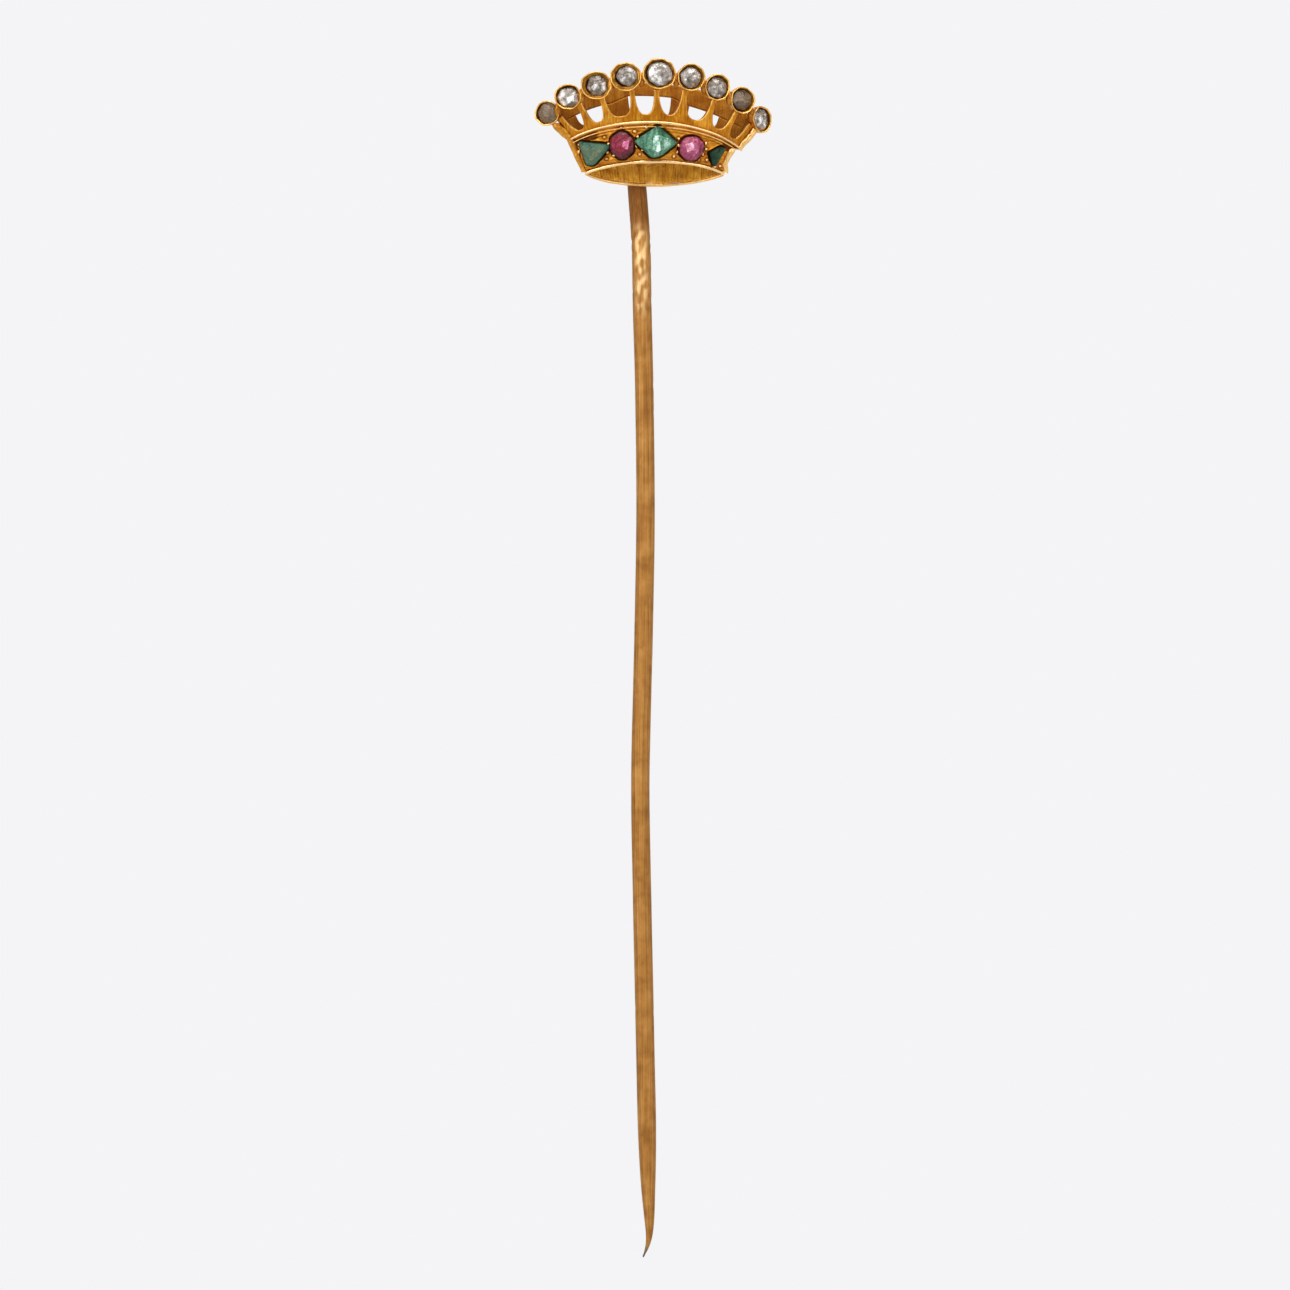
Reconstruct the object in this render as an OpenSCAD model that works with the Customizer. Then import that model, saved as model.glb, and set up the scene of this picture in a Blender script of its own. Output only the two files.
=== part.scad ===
// Antique gold hat pin with a hollow, flattened coronet head.
// Nine stones stand in collets on a pierced gallery, over a band set with five coloured stones.
// Frame: origin at the middle of the straight grip near the point, +Z up towards the head,
// -Y out of the head's front. Millimetres.

/* [Pin stem] */
// Diameter of the stem wire
stem_d = 0.976; // [0.8:0.01:1.2]
// Height of the head's lower corners above the middle of the grip
stem_rise = 44.8; // [30:0.1:60]
// Length of the straight round grip, where a guard sits
grip_l = 12; // [8:0.5:14]
// Lean of the grip away from upright, in degrees
grip_lean = 1.2; // [0:0.1:2]
// Length of the taper from the grip to the point
taper_l = 8; // [5:0.1:12]
// Radius of the blunted point
point_r = 0.05; // [0.03:0.01:0.12]
// Sideways hook of the point, against the lean
point_hook = 0.36; // [0:0.02:0.5]
// Length of the bend that takes the stem back to the head
neck_l = 3.2; // [2.4:0.1:5]

/* [Head] */
// Turn of the head about the stem, in degrees
head_turn = 9.5; // [0:0.5:20]
// Sideways place of the head's middle
head_x = 0.57; // [0:0.01:1.2]
// Depth place of the head's middle
head_y = -0.8; // [-1.5:0.05:0]
// Half width at the lower rim
rim_half_w = 3.82; // [3:0.05:4.6]
// Half width at the upper rim
band_half_w = 4.6; // [3.8:0.05:5.4]
// Half width along the line of collets
top_half_w = 5.93; // [5.6:0.05:7.2]
// Height of the band at its ends
band_h = 1.57; // [1.2:0.01:2]
// Height of the gallery at its ends, from the upper rim to the line of collets
gallery_h = 1.52; // [1.3:0.01:2]
// How far the front bows forwards at the lower rim
rim_bow = 1.2; // [0.8:0.05:1.6]
// How far the front bows forwards along the line of collets
top_bow = 1.8; // [1.3:0.05:2.4]
// How far the front of the lower rim arches up in its middle
rim_arch = 0.62; // [0.3:0.02:0.8]
// How far the upper rim arches up in its middle
band_arch = 1.14; // [0.8:0.02:1.4]
// How far the line of collets arches up in its middle
top_arch = 2.24; // [1.9:0.02:2.6]
// How far the back of the lower rim dips in its middle
back_dip = 0.6; // [0.2:0.02:0.8]
// How far the top edge of the back arches up in its middle
back_arch = 1.88; // [1.3:0.02:2]
// Drop of the right end against the left, at the upper rim
band_droop = 0.23; // [0:0.01:0.3]
// Drop of the right end against the left, along the line of collets
top_droop = 0.15; // [0:0.01:0.3]

/* [Metal] */
// Thickness of the band and the gallery
front_t = 0.2; // [0.14:0.01:0.26]
// Thickness of the back
back_t = 0.18; // [0.14:0.01:0.24]
// Radius of the lower rim wire
rim_r = 0.1; // [0.08:0.01:0.14]
// Radius of the upper rim wire
bead_r = 0.08; // [0.06:0.01:0.11]
// Angle round the bow that each post closing the head's ends fills, in degrees
end_post_angle = 3.2; // [2.6:0.1:3.8]
// Half width of a gallery post at its top
post_half_w = 0.16; // [0.12:0.01:0.2]
// Gap from the upper rim to the windows' lowest points, at the head's middle
sill_mid = 0.47; // [0.3:0.01:0.6]
// The same gap at the head's ends
sill_end = 0.16; // [0.12:0.01:0.3]

/* [Collets and diamonds] */
// Outer diameter of the middle collet
middle_d = 1.78; // [1.5:0.01:1.8]
// Outer diameters of the four collets to its left, from the end inwards
left_d = [1.36, 1.46, 1.6, 1.64]; // [1.3:0.01:1.65]
// Outer diameters of the four collets to its right, from the end inwards
right_d = [1.46, 1.42, 1.4, 1.5]; // [1.3:0.01:1.52]
// Depth of a collet
collet_h = 0.72; // [0.6:0.01:0.9]
// Wall of a collet
collet_wall = 0.12; // [0.09:0.01:0.16]
// Width of the ledge that a stone sits on
ledge_w = 0.1; // [0.06:0.01:0.16]
// Thickness of a collet's floor
floor_t = 0.12; // [0.08:0.01:0.2]
// Gap around a stone in its collet
stone_gap = 0.05; // [0.02:0.01:0.08]
// Height of a rose-cut diamond
rose_h = 0.34; // [0.24:0.01:0.4]
// Share of the wall's own turn that the collets take up
facing = 0.5; // [0:0.05:1]
// How far a collet's edge stands in front of the line of collets
collet_front = 0.2; // [0:0.02:0.4]

/* [Band stones] */
// Height of the middle emerald
emerald_h = 0.7; // [0.4:0.02:0.8]
// Height of the other coloured stones
cabochon_h = 0.5; // [0.3:0.02:0.6]
// Radius of a raised grain
grain_r = 0.12; // [0.08:0.01:0.15]

/* [Hidden] */
gold = "#c08a3e";
gold_deep = "#8a5a22";
diamond_grey = "#a9a296";
emerald_green = "#7fae95";
ruby_red = "#a83a50";
fan = 60;
post_count = 9;
last_post = (post_count - 1) / 2;
front = -1;
back = 1;
stem_r = stem_d / 2;
wall_end = fan - end_post_angle;
// Even steps round the bow
bow_steps = [for (i = [-14:14]) wall_end * i / 14];
// Where the outermost windows of the gallery stop
end_edge = wall_end - 3;
// The gallery posts' places round the bow, in degrees: spaced by eye, not evenly
post_angles = [-fan, -42, -29.5, -14, -1.5, 12.5, 28.5, 43, fan];
// The collets' places round the bow, in degrees
collet_angles = [-fan, -45, -30, -16, -0.5, 14.3, 28.5, 43.2, 59];
half_ws = [rim_half_w, band_half_w, top_half_w];
bows = [rim_bow, (rim_bow + top_bow) / 2, top_bow];
rises = [0, band_h, band_h + gallery_h];
droops = [0, band_droop, top_droop];
front_arches = [rim_arch, band_arch, top_arch];
back_arches = [-back_dip, (back_arch - back_dip) / 2, back_arch];
// The back's three windows, as [left edge, right edge] in degrees round the bow
back_windows = [[-44, -24], [-11, 10.5], [20, 37]];
back_sill = 1.24;
// Level of the back rail's lower edge against degrees round the bow
rail_levels = [[0, 1.74], [11, 1.74], [20, 1.63], [43, 1.55], [fan, 1.55]];
// The stem's joint to the back
joint_angle = -8.5;
joint_levels = [0.12, 1.08];
// Waves of the free stem: [share of the way from the grip to the neck, sideways place]
waves = [[0.17, -0.21], [0.39, -0.04], [0.57, 0.065], [0.76, 0.01], [0.9, -0.11]];
// Raised grains: [degrees round the bow, level]
grains = [
    [-35, 0.74], [-35, 0.36], [-13.5, 0.62], [-13, 0.2], [12.5, 0.63], [12.5, 0.27],
    [31.5, 0.66], [31.5, 0.33], [29.5, 0.14], [49, 0.22], [53, 0.5], [-55, 0.78]
];
stem_sides = 16;
wire_sides = 8;
$fn = 48;

// How far along the bow an angle is, -1 at the left end and 1 at the right
function side(a) = sin(a) / sin(fan);
// How much of the bow an angle has, 0 at the ends and 1 in the middle
function bow(a) = (cos(a) - cos(fan)) / (1 - cos(fan));
// A size given at the lower rim, the upper rim and the line of collets, at any level 0 to 2
function at_level(sizes, h) = lookup(h, [for (i = [0:2]) [i, sizes[i]]]);
// A point on the front or back wall, in the head's own frame
function wall(a, h, face) = [
    at_level(half_ws, h) * side(a),
    face * at_level(bows, h) * bow(a),
    at_level(rises, h) + at_level(face == front ? front_arches : back_arches, h) * bow(a)
        - at_level(droops, h) * side(a)
];
// Turn of the wall's outward side from straight ahead, in degrees
function wall_turn(a, h) = atan2(
    at_level(bows, h) * sin(a) * sin(fan),
    at_level(half_ws, h) * cos(a) * (1 - cos(fan))
);
// Level of the wall's lower edge, which rests on the lower rim wire
function wall_low(a, face) = 0.92 * rim_r / (wall(a, 1, face).z - wall(a, 0, face).z);
// Lean of the front wall, in degrees: its upper edge stands further out
function wall_lean(a) = let (up = wall(a, 1, front) - wall(a, 0, front))
    atan2(up * outward(a, 0.5, front), up.z);
function outward(a, h, face) = let (turn = wall_turn(a, h)) [sin(turn), face * cos(turn), 0];
function off_wall(a, h, face, gap) = wall(a, h, face) + gap * outward(a, h, face);
// A point of the head in the pin's frame
function placed(p) = [
    head_x + p.x * cos(head_turn) - p.y * sin(head_turn),
    head_y + p.x * sin(head_turn) + p.y * cos(head_turn),
    stem_rise + p.z
];
// A direction of the head in the pin's frame
function turned(v) = placed(v) - placed([0, 0, 0]);
function unit(v) = v / norm(v);

// A solid through a list of rings of points, each ring anticlockwise as seen from its start
module loft(rings, closed = false) {
    n = len(rings[0]);
    m = len(rings);
    walls = [
        for (j = [0:closed ? m - 1 : m - 2], i = [0:n - 1])
        let (a = j * n + i, b = j * n + (i + 1) % n, c = (j + 1) % m * n, d = c + (i + 1) % n)
        each [[a, b, d], [a, d, c + i]]
    ];
    caps = [
        for (i = [1:n - 2])
        each [[0, i + 1, i], [(m - 1) * n, (m - 1) * n + i, (m - 1) * n + i + 1]]
    ];
    polyhedron(points = [for (ring = rings) each ring], faces = closed ? walls : concat(walls, caps));
}

// A curved strip of wall: samples are [degrees, lower level, upper level]
module strip(samples, face, thickness) {
    half = thickness / 2;
    loft([
        for (s = samples) [
            placed(off_wall(s[0], s[1], face, face * half)),
            placed(off_wall(s[0], s[1], face, -face * half)),
            placed(off_wall(s[0], s[2], face, -face * half)),
            placed(off_wall(s[0], s[2], face, face * half))
        ]
    ]);
}

// A ring of a wire about a point, in the plane of an outward direction and the vertical
function wire_ring(p, dir, r) = [
    for (i = [0:wire_sides - 1])
    let (f = 360 * i / wire_sides + 180 / wire_sides)
    p + r * (cos(f) * dir + [0, 0, sin(f)])
];

// The stem's route: the weld on the back, the neck, the waves, the grip and the point
grip_dir = [-sin(grip_lean), 0, cos(grip_lean)];
neck_z = stem_rise - back_dip - neck_l;
free_low = grip_l / 2 * cos(grip_lean);
weld = [for (h = joint_levels) placed(off_wall(joint_angle, h, back, back_t / 2 + stem_r))];
tip = -(grip_l / 2 + taper_l) * grip_dir;
route = concat(
    [weld[1], weld[0]],
    [[-0.18, 0, neck_z]],
    [for (i = [len(waves) - 1:-1:0]) [waves[i][1], 0, free_low + waves[i][0] * (neck_z - free_low)]],
    [for (k = [0.5, 0, -0.5]) k * grip_l * grip_dir],
    [for (k = [0.5, 0.85]) -(grip_l / 2 + k * taper_l) * grip_dir],
    [tip - [point_hook, 0, 0]]
);
// Catmull-Rom curve through four points
function spline(p, t) = 0.5 * (
    2 * p[1] + (p[2] - p[0]) * t + (2 * p[0] - 5 * p[1] + 4 * p[2] - p[3]) * t * t
    + (3 * p[1] - p[0] - 3 * p[2] + p[3]) * t * t * t
);
function route_point(i) = route[max(0, min(len(route) - 1, i))];
stem_step = 1;
stem_line = concat(
    [
        for (i = [0:len(route) - 2])
        let (
            p = [for (k = [-1:2]) route_point(i + k)],
            n = ceil(norm(p[2] - p[1]) / stem_step)
        )
        for (j = [0:n - 1]) spline(p, j / n)
    ],
    [route[len(route) - 1]]
);
// Radius of the stem: full down to the grip's end, then a long ogive
function stem_radius(p) = let (
    t = max(0, min(1, (-p * grip_dir - grip_l / 2) / taper_l))
) max(point_r, (stem_r - 0.004) * pow(1 - pow(t, 1.8), 0.75));

module stem() {
    last = len(stem_line) - 1;
    rings = [
        for (i = [0:last])
        let (
            dir = unit(stem_line[max(0, i - 1)] - stem_line[min(last, i + 1)]),
            across = unit(cross([0, 1, 0], dir)),
            deep = cross(dir, across)
        ) [
            for (j = [0:stem_sides - 1])
            let (f = 360 * j / stem_sides)
            stem_line[i] + stem_radius(stem_line[i]) * (cos(f) * across + sin(f) * deep)
        ]
    ];
    color(gold) {
        loft(rings);
        rotate([0, -grip_lean, 0]) cylinder(h = grip_l, r = stem_r, center = true);
    }
}

// Two fillets of solder beside the stem, where it lies on the back
module stem_solder() {
    color(gold_deep)
    for (way = [-1, 1])
    loft([
        for (h = joint_levels)
        let (
            middle = off_wall(joint_angle, h, back, back_t / 2),
            out = outward(joint_angle, h, back),
            across = way * [out.y, -out.x, 0],
            ring = [
                middle + 0.64 * stem_r * across,
                middle + (stem_r + 0.3) * across,
                middle + stem_r * (across + 0.8 * out)
            ]
        ) [for (i = way > 0 ? [2, 1, 0] : [0, 1, 2]) placed(ring[i])]
    ]);
}

module lower_rim() {
    color(gold)
    loft([
        for (face = [front, back])
        each concat(
            [
                for (a = bow_steps)
                wire_ring(placed(wall(-face * a, 0, face)), turned(outward(-face * a, 0, face)), rim_r)
            ],
            [
                let (end = wall(-face * fan, 0, front), out = [-face, 0, 0])
                wire_ring(placed(end + 0.3 * rim_r * out), turned(out), rim_r)
            ]
        )
    ], closed = true);
}

module front_band() {
    color(gold) strip([for (a = bow_steps) [a, wall_low(a, front), 1]], front, front_t);
}

module upper_rim() {
    color(gold)
    loft([
        for (a = bow_steps)
        wire_ring(
            placed(off_wall(a, 1, front, front_t / 2 + bead_r)),
            turned(outward(a, 1, front)),
            bead_r
        )
    ]);
}

// Outer diameter of collet k, -4 at the left end and 4 at the right
function collet_d(k) = k == 0 ? middle_d : k < 0 ? left_d[k + last_post] : right_d[last_post - k];
function collet_angle(k) = collet_angles[k + last_post];
function post_angle(k) = post_angles[k + last_post];
// Length of the wall from the upper rim to the line of collets
function gallery_reach(a) = norm(wall(a, 2, front) - wall(a, 1, front));
// Level at which a gallery post meets its collet's round side
function post_level(k) = let (
    a = post_angle(k),
    r = collet_d(k) / 2 - 0.02,
    aside = norm(wall(a, 2, front) - wall(collet_angle(k), 2, front))
) 2 - sqrt(max(0, r * r - aside * aside)) / gallery_reach(a);
// Level of a window's lowest point
function sill_level(a) = 1 + (sill_end + (sill_mid - sill_end) * bow(a)) / gallery_reach(a);
// Half the angle that a gallery post takes up at its top
function post_half_angle(k) = let (
    a = post_angle(k)
) post_half_w / norm(wall(a + 0.5, 2, front) - wall(a - 0.5, 2, front));

// [degrees, level] along a U-shaped opening between two angles, with corners of power p
function u_edge(a0, a1, sill, tops, p, n) = [
    for (i = [0:n])
    let (
        f = -90 + 180 * i / n,
        t = sign(f) * pow(abs(sin(f)), 2 / p),
        top = tops[0] + (tops[1] - tops[0]) * (t + 1) / 2
    )
    [(a0 + a1) / 2 + t * (a1 - a0) / 2, sill + (top - sill) * (1 - pow(abs(cos(f)), 2 / p))]
];

module front_gallery() {
    color(gold)
    strip([
        for (k = [-last_post:last_post - 1])
        let (
            start = post_angle(k) + (k == -last_post ? fan - end_edge : post_half_angle(k)),
            end = post_angle(k + 1) - (k + 1 == last_post ? fan - end_edge : post_half_angle(k + 1)),
            tops = [post_level(k), post_level(k + 1)],
            edge = u_edge(start, end, sill_level((start + end) / 2), tops, 2.6, 14)
        )
        for (e = concat(
            k == -last_post ? [[-wall_end, tops[0]]] : [],
            edge,
            k + 1 == last_post ? [[wall_end, tops[1]]] : []
        )) [e[0], 1, e[1]]
    ], front, front_t);
}

function rail_level(a) = lookup(abs(a), rail_levels);

module back_wall() {
    edge = concat(
        [for (a = [-wall_end, -wall_end + 4, -wall_end + 8]) [a, rail_level(a)]],
        [
            for (w = back_windows)
            each u_edge(w[0], w[1], back_sill, [rail_level(w[0]), rail_level(w[1])], 4, 12)
        ],
        [for (a = [wall_end - 8, wall_end - 4, wall_end]) [a, rail_level(a)]]
    );
    color(gold_deep) strip([for (e = edge) [e[0], wall_low(e[0], back), e[1]]], back, back_t);
}

module back_rail() {
    top_levels = [[0, 2], [wall_end - 9, 2], [wall_end, post_level(last_post)]];
    color(gold_deep)
    strip([for (a = bow_steps) [a, rail_level(a), lookup(abs(a), top_levels)]], back, back_t);
}

// A post that closes one end of the head, from the lower rim to the end collet
module end_post(k) {
    top = post_level(k);
    a = collet_angle(k);
    color(gold)
    loft([
        for (h = [wall_low(a, front), 0.5, 1, top])
        let (reach = norm(wall(fan, h, front) - wall(wall_end, h, front)) - 0.005)
        [
            for (i = [0:wire_sides - 1])
            let (f = -360 * i / wire_sides)
            placed(wall(a, h, front) + reach * [cos(f), sin(f), 0])
        ]
    ]);
}

// Places a piece on the line of collets, facing out, with +Z to the front
module on_collet(k) {
    a = collet_angle(k);
    translate(placed(wall(a, 2, front)))
    rotate([90, 0, head_turn + facing * wall_turn(a, 2)])
    translate([0, 0, collet_front - collet_h])
    children();
}

// Height of the ledge inside a collet: the stone's top ends just under the collet's edge
ledge_z = collet_h - rose_h - 0.02;

module collet(k) {
    r = collet_d(k) / 2;
    bore = r - collet_wall;
    color(gold)
    on_collet(k)
    rotate_extrude()
    polygon([
        [0, 0], [0.88 * r, 0], [r, 0.6 * collet_h], [r, collet_h], [bore, collet_h],
        [bore, ledge_z], [bore - ledge_w, ledge_z], [bore - ledge_w, floor_t], [0, floor_t]
    ]);
}

// A rose-cut diamond: a flat base, twelve sides and twenty-four facets up to a point
module diamond(k) {
    r = collet_d(k) / 2 - collet_wall - stone_gap;
    outer = [for (i = [0:11]) [r * cos(30 * i), r * sin(30 * i), 0]];
    inner = [for (i = [0:5]) [0.6 * r * cos(60 * i), 0.6 * r * sin(60 * i), 0.68 * rose_h]];
    faces = [
        for (i = [0:5])
        let (a = 2 * i, b = a + 1, c = (a + 2) % 12, p = 12 + i, q = 12 + (i + 1) % 6)
        each [[a, p, b], [b, p, q], [b, q, c], [p, 18, q]]
    ];
    color(diamond_grey)
    on_collet(k)
    translate([0, 0, ledge_z])
    polyhedron(concat(outer, inner, [[0, 0, rose_h]]), concat(faces, [[for (i = [0:11]) i]]));
}

// A coloured stone on the band: width, height, rise, sides, and the corners of its outline
module band_stone(a, h, w, l, rise, sides, corners, sharp, spin, table) {
    p = placed(off_wall(a, h, front, front_t / 2));
    // [share of the rise, share of the outline]
    steps = [[0, 1], [0.35, 0.96], [0.75, (1 + table) / 2], [1, table]];
    translate(p)
    rotate([90 + wall_lean(a), 0, head_turn + wall_turn(a, h)])
    loft([
        for (s = steps) [
            for (i = [0:sides - 1])
            let (f = -360 * i / sides, r = (1 + sharp * cos(corners * (f - spin))) / (1 + sharp))
            [s[1] * r * w / 2 * cos(f), s[1] * r * l / 2 * sin(f), s[0] * rise]
        ]
    ]);
}

module emerald_left() {
    color(emerald_green) band_stone(-45, 0.44, 2.05, 1.5, cabochon_h, 18, 3, 0.14, 20, 0.45);
}

module ruby_left() {
    color(ruby_red) band_stone(-24, 0.47, 1.28, 1.5, cabochon_h, 16, 0, 0, 0, 0.5);
}

module emerald_middle() {
    color(emerald_green) band_stone(-2.5, 0.48, 2.25, 1.68, emerald_h, 16, 4, 0.12, 0, 0.3);
}

module ruby_right() {
    color(ruby_red) band_stone(21.5, 0.44, 1.4, 1.34, cabochon_h, 16, 0, 0, 0, 0.5);
}

module emerald_right() {
    color(emerald_green) band_stone(42, 0.42, 1.2, 1.05, cabochon_h, 18, 3, 0.14, 35, 0.45);
}

// Small domes raised from the metal beside the stones
module band_grains() {
    color(gold)
    for (g = grains)
    translate(placed(off_wall(g[0], g[1], front, front_t / 2)))
    rotate([90 + wall_lean(g[0]), 0, head_turn + wall_turn(g[0], g[1])])
    rotate_extrude($fn = 24)
    intersection() {
        circle(r = grain_r);
        square(grain_r);
    }
}

stem();
stem_solder();
lower_rim();
front_band();
upper_rim();
front_gallery();
back_wall();
back_rail();
end_post(-last_post);  // end_post_left
end_post(last_post);  // end_post_right
for (k = [1:post_count]) collet(k - 1 - last_post);
for (k = [1:post_count]) diamond(k - 1 - last_post);
emerald_left();
ruby_left();
emerald_middle();
ruby_right();
emerald_right();
band_grains();
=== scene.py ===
import math

import bpy
import numpy as np
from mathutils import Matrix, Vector


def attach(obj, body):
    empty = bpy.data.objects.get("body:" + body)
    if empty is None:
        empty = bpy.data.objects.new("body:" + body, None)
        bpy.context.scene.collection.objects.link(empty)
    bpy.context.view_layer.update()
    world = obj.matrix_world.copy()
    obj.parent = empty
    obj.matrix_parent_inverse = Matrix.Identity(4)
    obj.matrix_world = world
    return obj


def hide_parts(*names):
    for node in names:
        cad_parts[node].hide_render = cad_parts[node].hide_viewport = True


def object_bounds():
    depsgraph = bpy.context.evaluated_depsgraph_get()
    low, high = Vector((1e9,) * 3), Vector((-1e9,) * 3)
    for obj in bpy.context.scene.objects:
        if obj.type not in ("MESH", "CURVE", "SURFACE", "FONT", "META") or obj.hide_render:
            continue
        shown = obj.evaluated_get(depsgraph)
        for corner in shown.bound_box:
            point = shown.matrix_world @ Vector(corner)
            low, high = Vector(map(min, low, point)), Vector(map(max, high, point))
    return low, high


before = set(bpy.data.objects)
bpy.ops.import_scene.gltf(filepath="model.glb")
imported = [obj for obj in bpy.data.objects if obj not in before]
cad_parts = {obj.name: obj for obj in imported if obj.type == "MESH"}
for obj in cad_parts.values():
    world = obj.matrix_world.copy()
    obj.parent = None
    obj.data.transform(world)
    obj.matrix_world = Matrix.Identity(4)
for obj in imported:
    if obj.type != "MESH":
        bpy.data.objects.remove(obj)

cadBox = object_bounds()
mm = 0.001                               # every size below is in millimetres
dice = np.random.default_rng(23)
print("stage: frame loaded")


def addMesh(name, points, faces, material, nodes, marks, smooth=True):
    # points in mm; faces is a list of index arrays; marks are values kept on the vertices;
    # the sum of the triple products over the faces says whether the skin faces outwards
    quads = [row for block in faces for row in block.tolist()]
    corner = points * mm
    volume = 0.0
    for block in faces:
        for k in range(1, block.shape[1] - 1):
            a, b, c = corner[block[:, 0]], corner[block[:, k]], corner[block[:, k + 1]]
            volume += np.einsum("ij,ij->", a, np.cross(b, c))
    if volume < 0:                       # a closed mesh with its faces inwards is turned
        quads = [row[::-1] for row in quads]
    mesh = bpy.data.meshes.new(name)
    mesh.from_pydata(corner.tolist(), [], quads)
    mesh.polygons.foreach_set("use_smooth", np.full(len(quads), smooth))
    for key, values in marks.items():
        kind = "FLOAT_VECTOR" if values.ndim == 2 else "FLOAT"
        layer = mesh.attributes.new(key, kind, "POINT")
        layer.data.foreach_set("vector" if values.ndim == 2 else "value", values.ravel().astype(np.float32))
    mesh.update()
    mesh.materials.append(material)
    piece = bpy.data.objects.new(name, mesh)
    bpy.context.scene.collection.objects.link(piece)
    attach(piece, "root")
    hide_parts(*nodes)


def gridFaces(rows, cols, closeRows=False, closeCols=False):
    # quads over a rows by cols grid of vertices, wrapped round where asked
    i = np.arange(rows if closeRows else rows - 1)[:, None]
    j = np.arange(cols if closeCols else cols - 1)[None, :]
    k, l = (i + 1) % rows, (j + 1) % cols
    return np.stack([i * cols + j, k * cols + j, k * cols + l, i * cols + l], -1).reshape(-1, 4)


def lathe(rings):
    # a closed skin through rings (m, n, 3), with a pole at the middle of the first and last ring
    m, n = rings.shape[:2]
    points = np.vstack([rings.reshape(-1, 3), rings[0].mean(0), rings[-1].mean(0)])
    i = np.arange(n)
    low = np.stack([np.full(n, m * n), (i + 1) % n, i], 1)
    high = np.stack([np.full(n, m * n + 1), (m - 1) * n + i, (m - 1) * n + (i + 1) % n], 1)
    return points, [gridFaces(m, n, closeCols=True), low, high]


def join(parts):
    # several (points, faces) made one list of points and faces
    points, faces, start = [], [], 0
    for p, f in parts:
        points.append(p)
        faces += [block + start for block in f]
        start += len(p)
    return np.vstack(points), faces


def ripple(p, size, seed, waves=9):
    # smooth noise of about -1 to 1: a sum of sine waves in fixed random directions, size mm long
    r = np.random.default_rng(seed)
    d = r.normal(size=(waves, 3))
    d /= np.linalg.norm(d, axis=1, keepdims=True)
    k = 2 * math.pi / (size * r.uniform(0.7, 1.6, waves))
    phase = r.uniform(0, 2 * math.pi, waves)
    return np.sin(p @ (d * k[:, None]).T + phase).sum(-1) / math.sqrt(waves)


def step(x, low, high):
    # smooth step from 0 at low to 1 at high
    t = np.clip((x - low) / (high - low), 0, 1)
    return t * t * (3 - 2 * t)


def nearest(points, edge):
    # distance from every point to the nearest point of an edge
    flat = points.reshape(-1, 3)
    best = np.full(len(flat), 1e9)
    for part in np.array_split(edge, max(1, len(edge) // 60)):
        best = np.minimum(best, np.linalg.norm(flat[:, None] - part[None], axis=2).min(1))
    return best.reshape(points.shape[:-1])


class Wire:
    # one shader socket; arithmetic on it adds Math nodes
    def __init__(self, tree, socket):
        self.tree, self.socket = tree, socket

    def sum(self, how, a, b):
        return addNode(self.tree, "ShaderNodeMath", {"operation": how}, {0: a, 1: b})

    def __add__(self, other):
        return self.sum("ADD", self, other)

    def __sub__(self, other):
        return self.sum("SUBTRACT", self, other)

    def __rsub__(self, other):
        return self.sum("SUBTRACT", other, self)

    def __mul__(self, other):
        return self.sum("MULTIPLY", self, other)

    __radd__, __rmul__ = __add__, __mul__


def addNode(tree, kind, settings=None, sockets=None, out=0):
    # settings first, then the values or links of the sockets
    node = tree.nodes.new(kind)
    for key, value in (settings or {}).items():
        if key == "stops":
            ramp = node.color_ramp.elements
            while len(ramp) < len(value):
                ramp.new(0.5)
            for slot, (place, colour) in zip(ramp, value):
                slot.position, slot.color = place, tuple(colour) + (1,)
        else:
            setattr(node, key, value)
    for key, value in (sockets or {}).items():
        if isinstance(value, Wire):
            tree.links.new(value.socket, node.inputs[key])
        else:
            node.inputs[key].default_value = value
    return Wire(tree, node.outputs[out]) if node.outputs else None


def blendColour(tree, share, a, b):
    # from colour a to colour b
    a, b = [c if isinstance(c, Wire) else tuple(c) + (1,) for c in (a, b)]
    return addNode(tree, "ShaderNodeMix", {"data_type": "RGBA", "clamp_factor": True},
                   {0: share, 6: a, 7: b}, 2)


def newMaterial(name):
    # an empty node tree for a material
    material = bpy.data.materials.new(name)
    material.use_nodes = True
    tree = material.node_tree
    tree.nodes.clear()
    return material, tree


def finishMaterial(tree, sockets):
    surface = addNode(tree, "ShaderNodeBsdfPrincipled", {}, sockets)
    addNode(tree, "ShaderNodeOutputMaterial", {}, {0: surface})


def placeOf(tree, stretch=(1, 1, 1)):
    # object coordinates in millimetres, stretched where a pattern runs one way
    spot = addNode(tree, "ShaderNodeTexCoord", {}, {}, 3)
    return addNode(tree, "ShaderNodeMapping", {}, {"Vector": spot, "Scale": tuple(s / mm for s in stretch)})


def flowOf(tree, stretch):
    # the piece's own coordinates: along it, up it and round it, in millimetres
    spot = addNode(tree, "ShaderNodeAttribute", {"attribute_name": "flow"}, {}, 1)
    return addNode(tree, "ShaderNodeMapping", {}, {"Vector": spot, "Scale": stretch})


def noiseAt(tree, vector, scale, detail=3, rough=0.55, twist=0):
    # soft noise from 0 to 1, with about scale blobs to a millimetre
    return addNode(tree, "ShaderNodeTexNoise", {}, {
        "Vector": vector, "Scale": scale, "Detail": detail, "Roughness": rough, "Distortion": twist})


def ramped(tree, value, stops):
    # a colour for each value, from a list of (value, colour)
    return addNode(tree, "ShaderNodeValToRGB", {"stops": stops}, {0: value})


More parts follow.
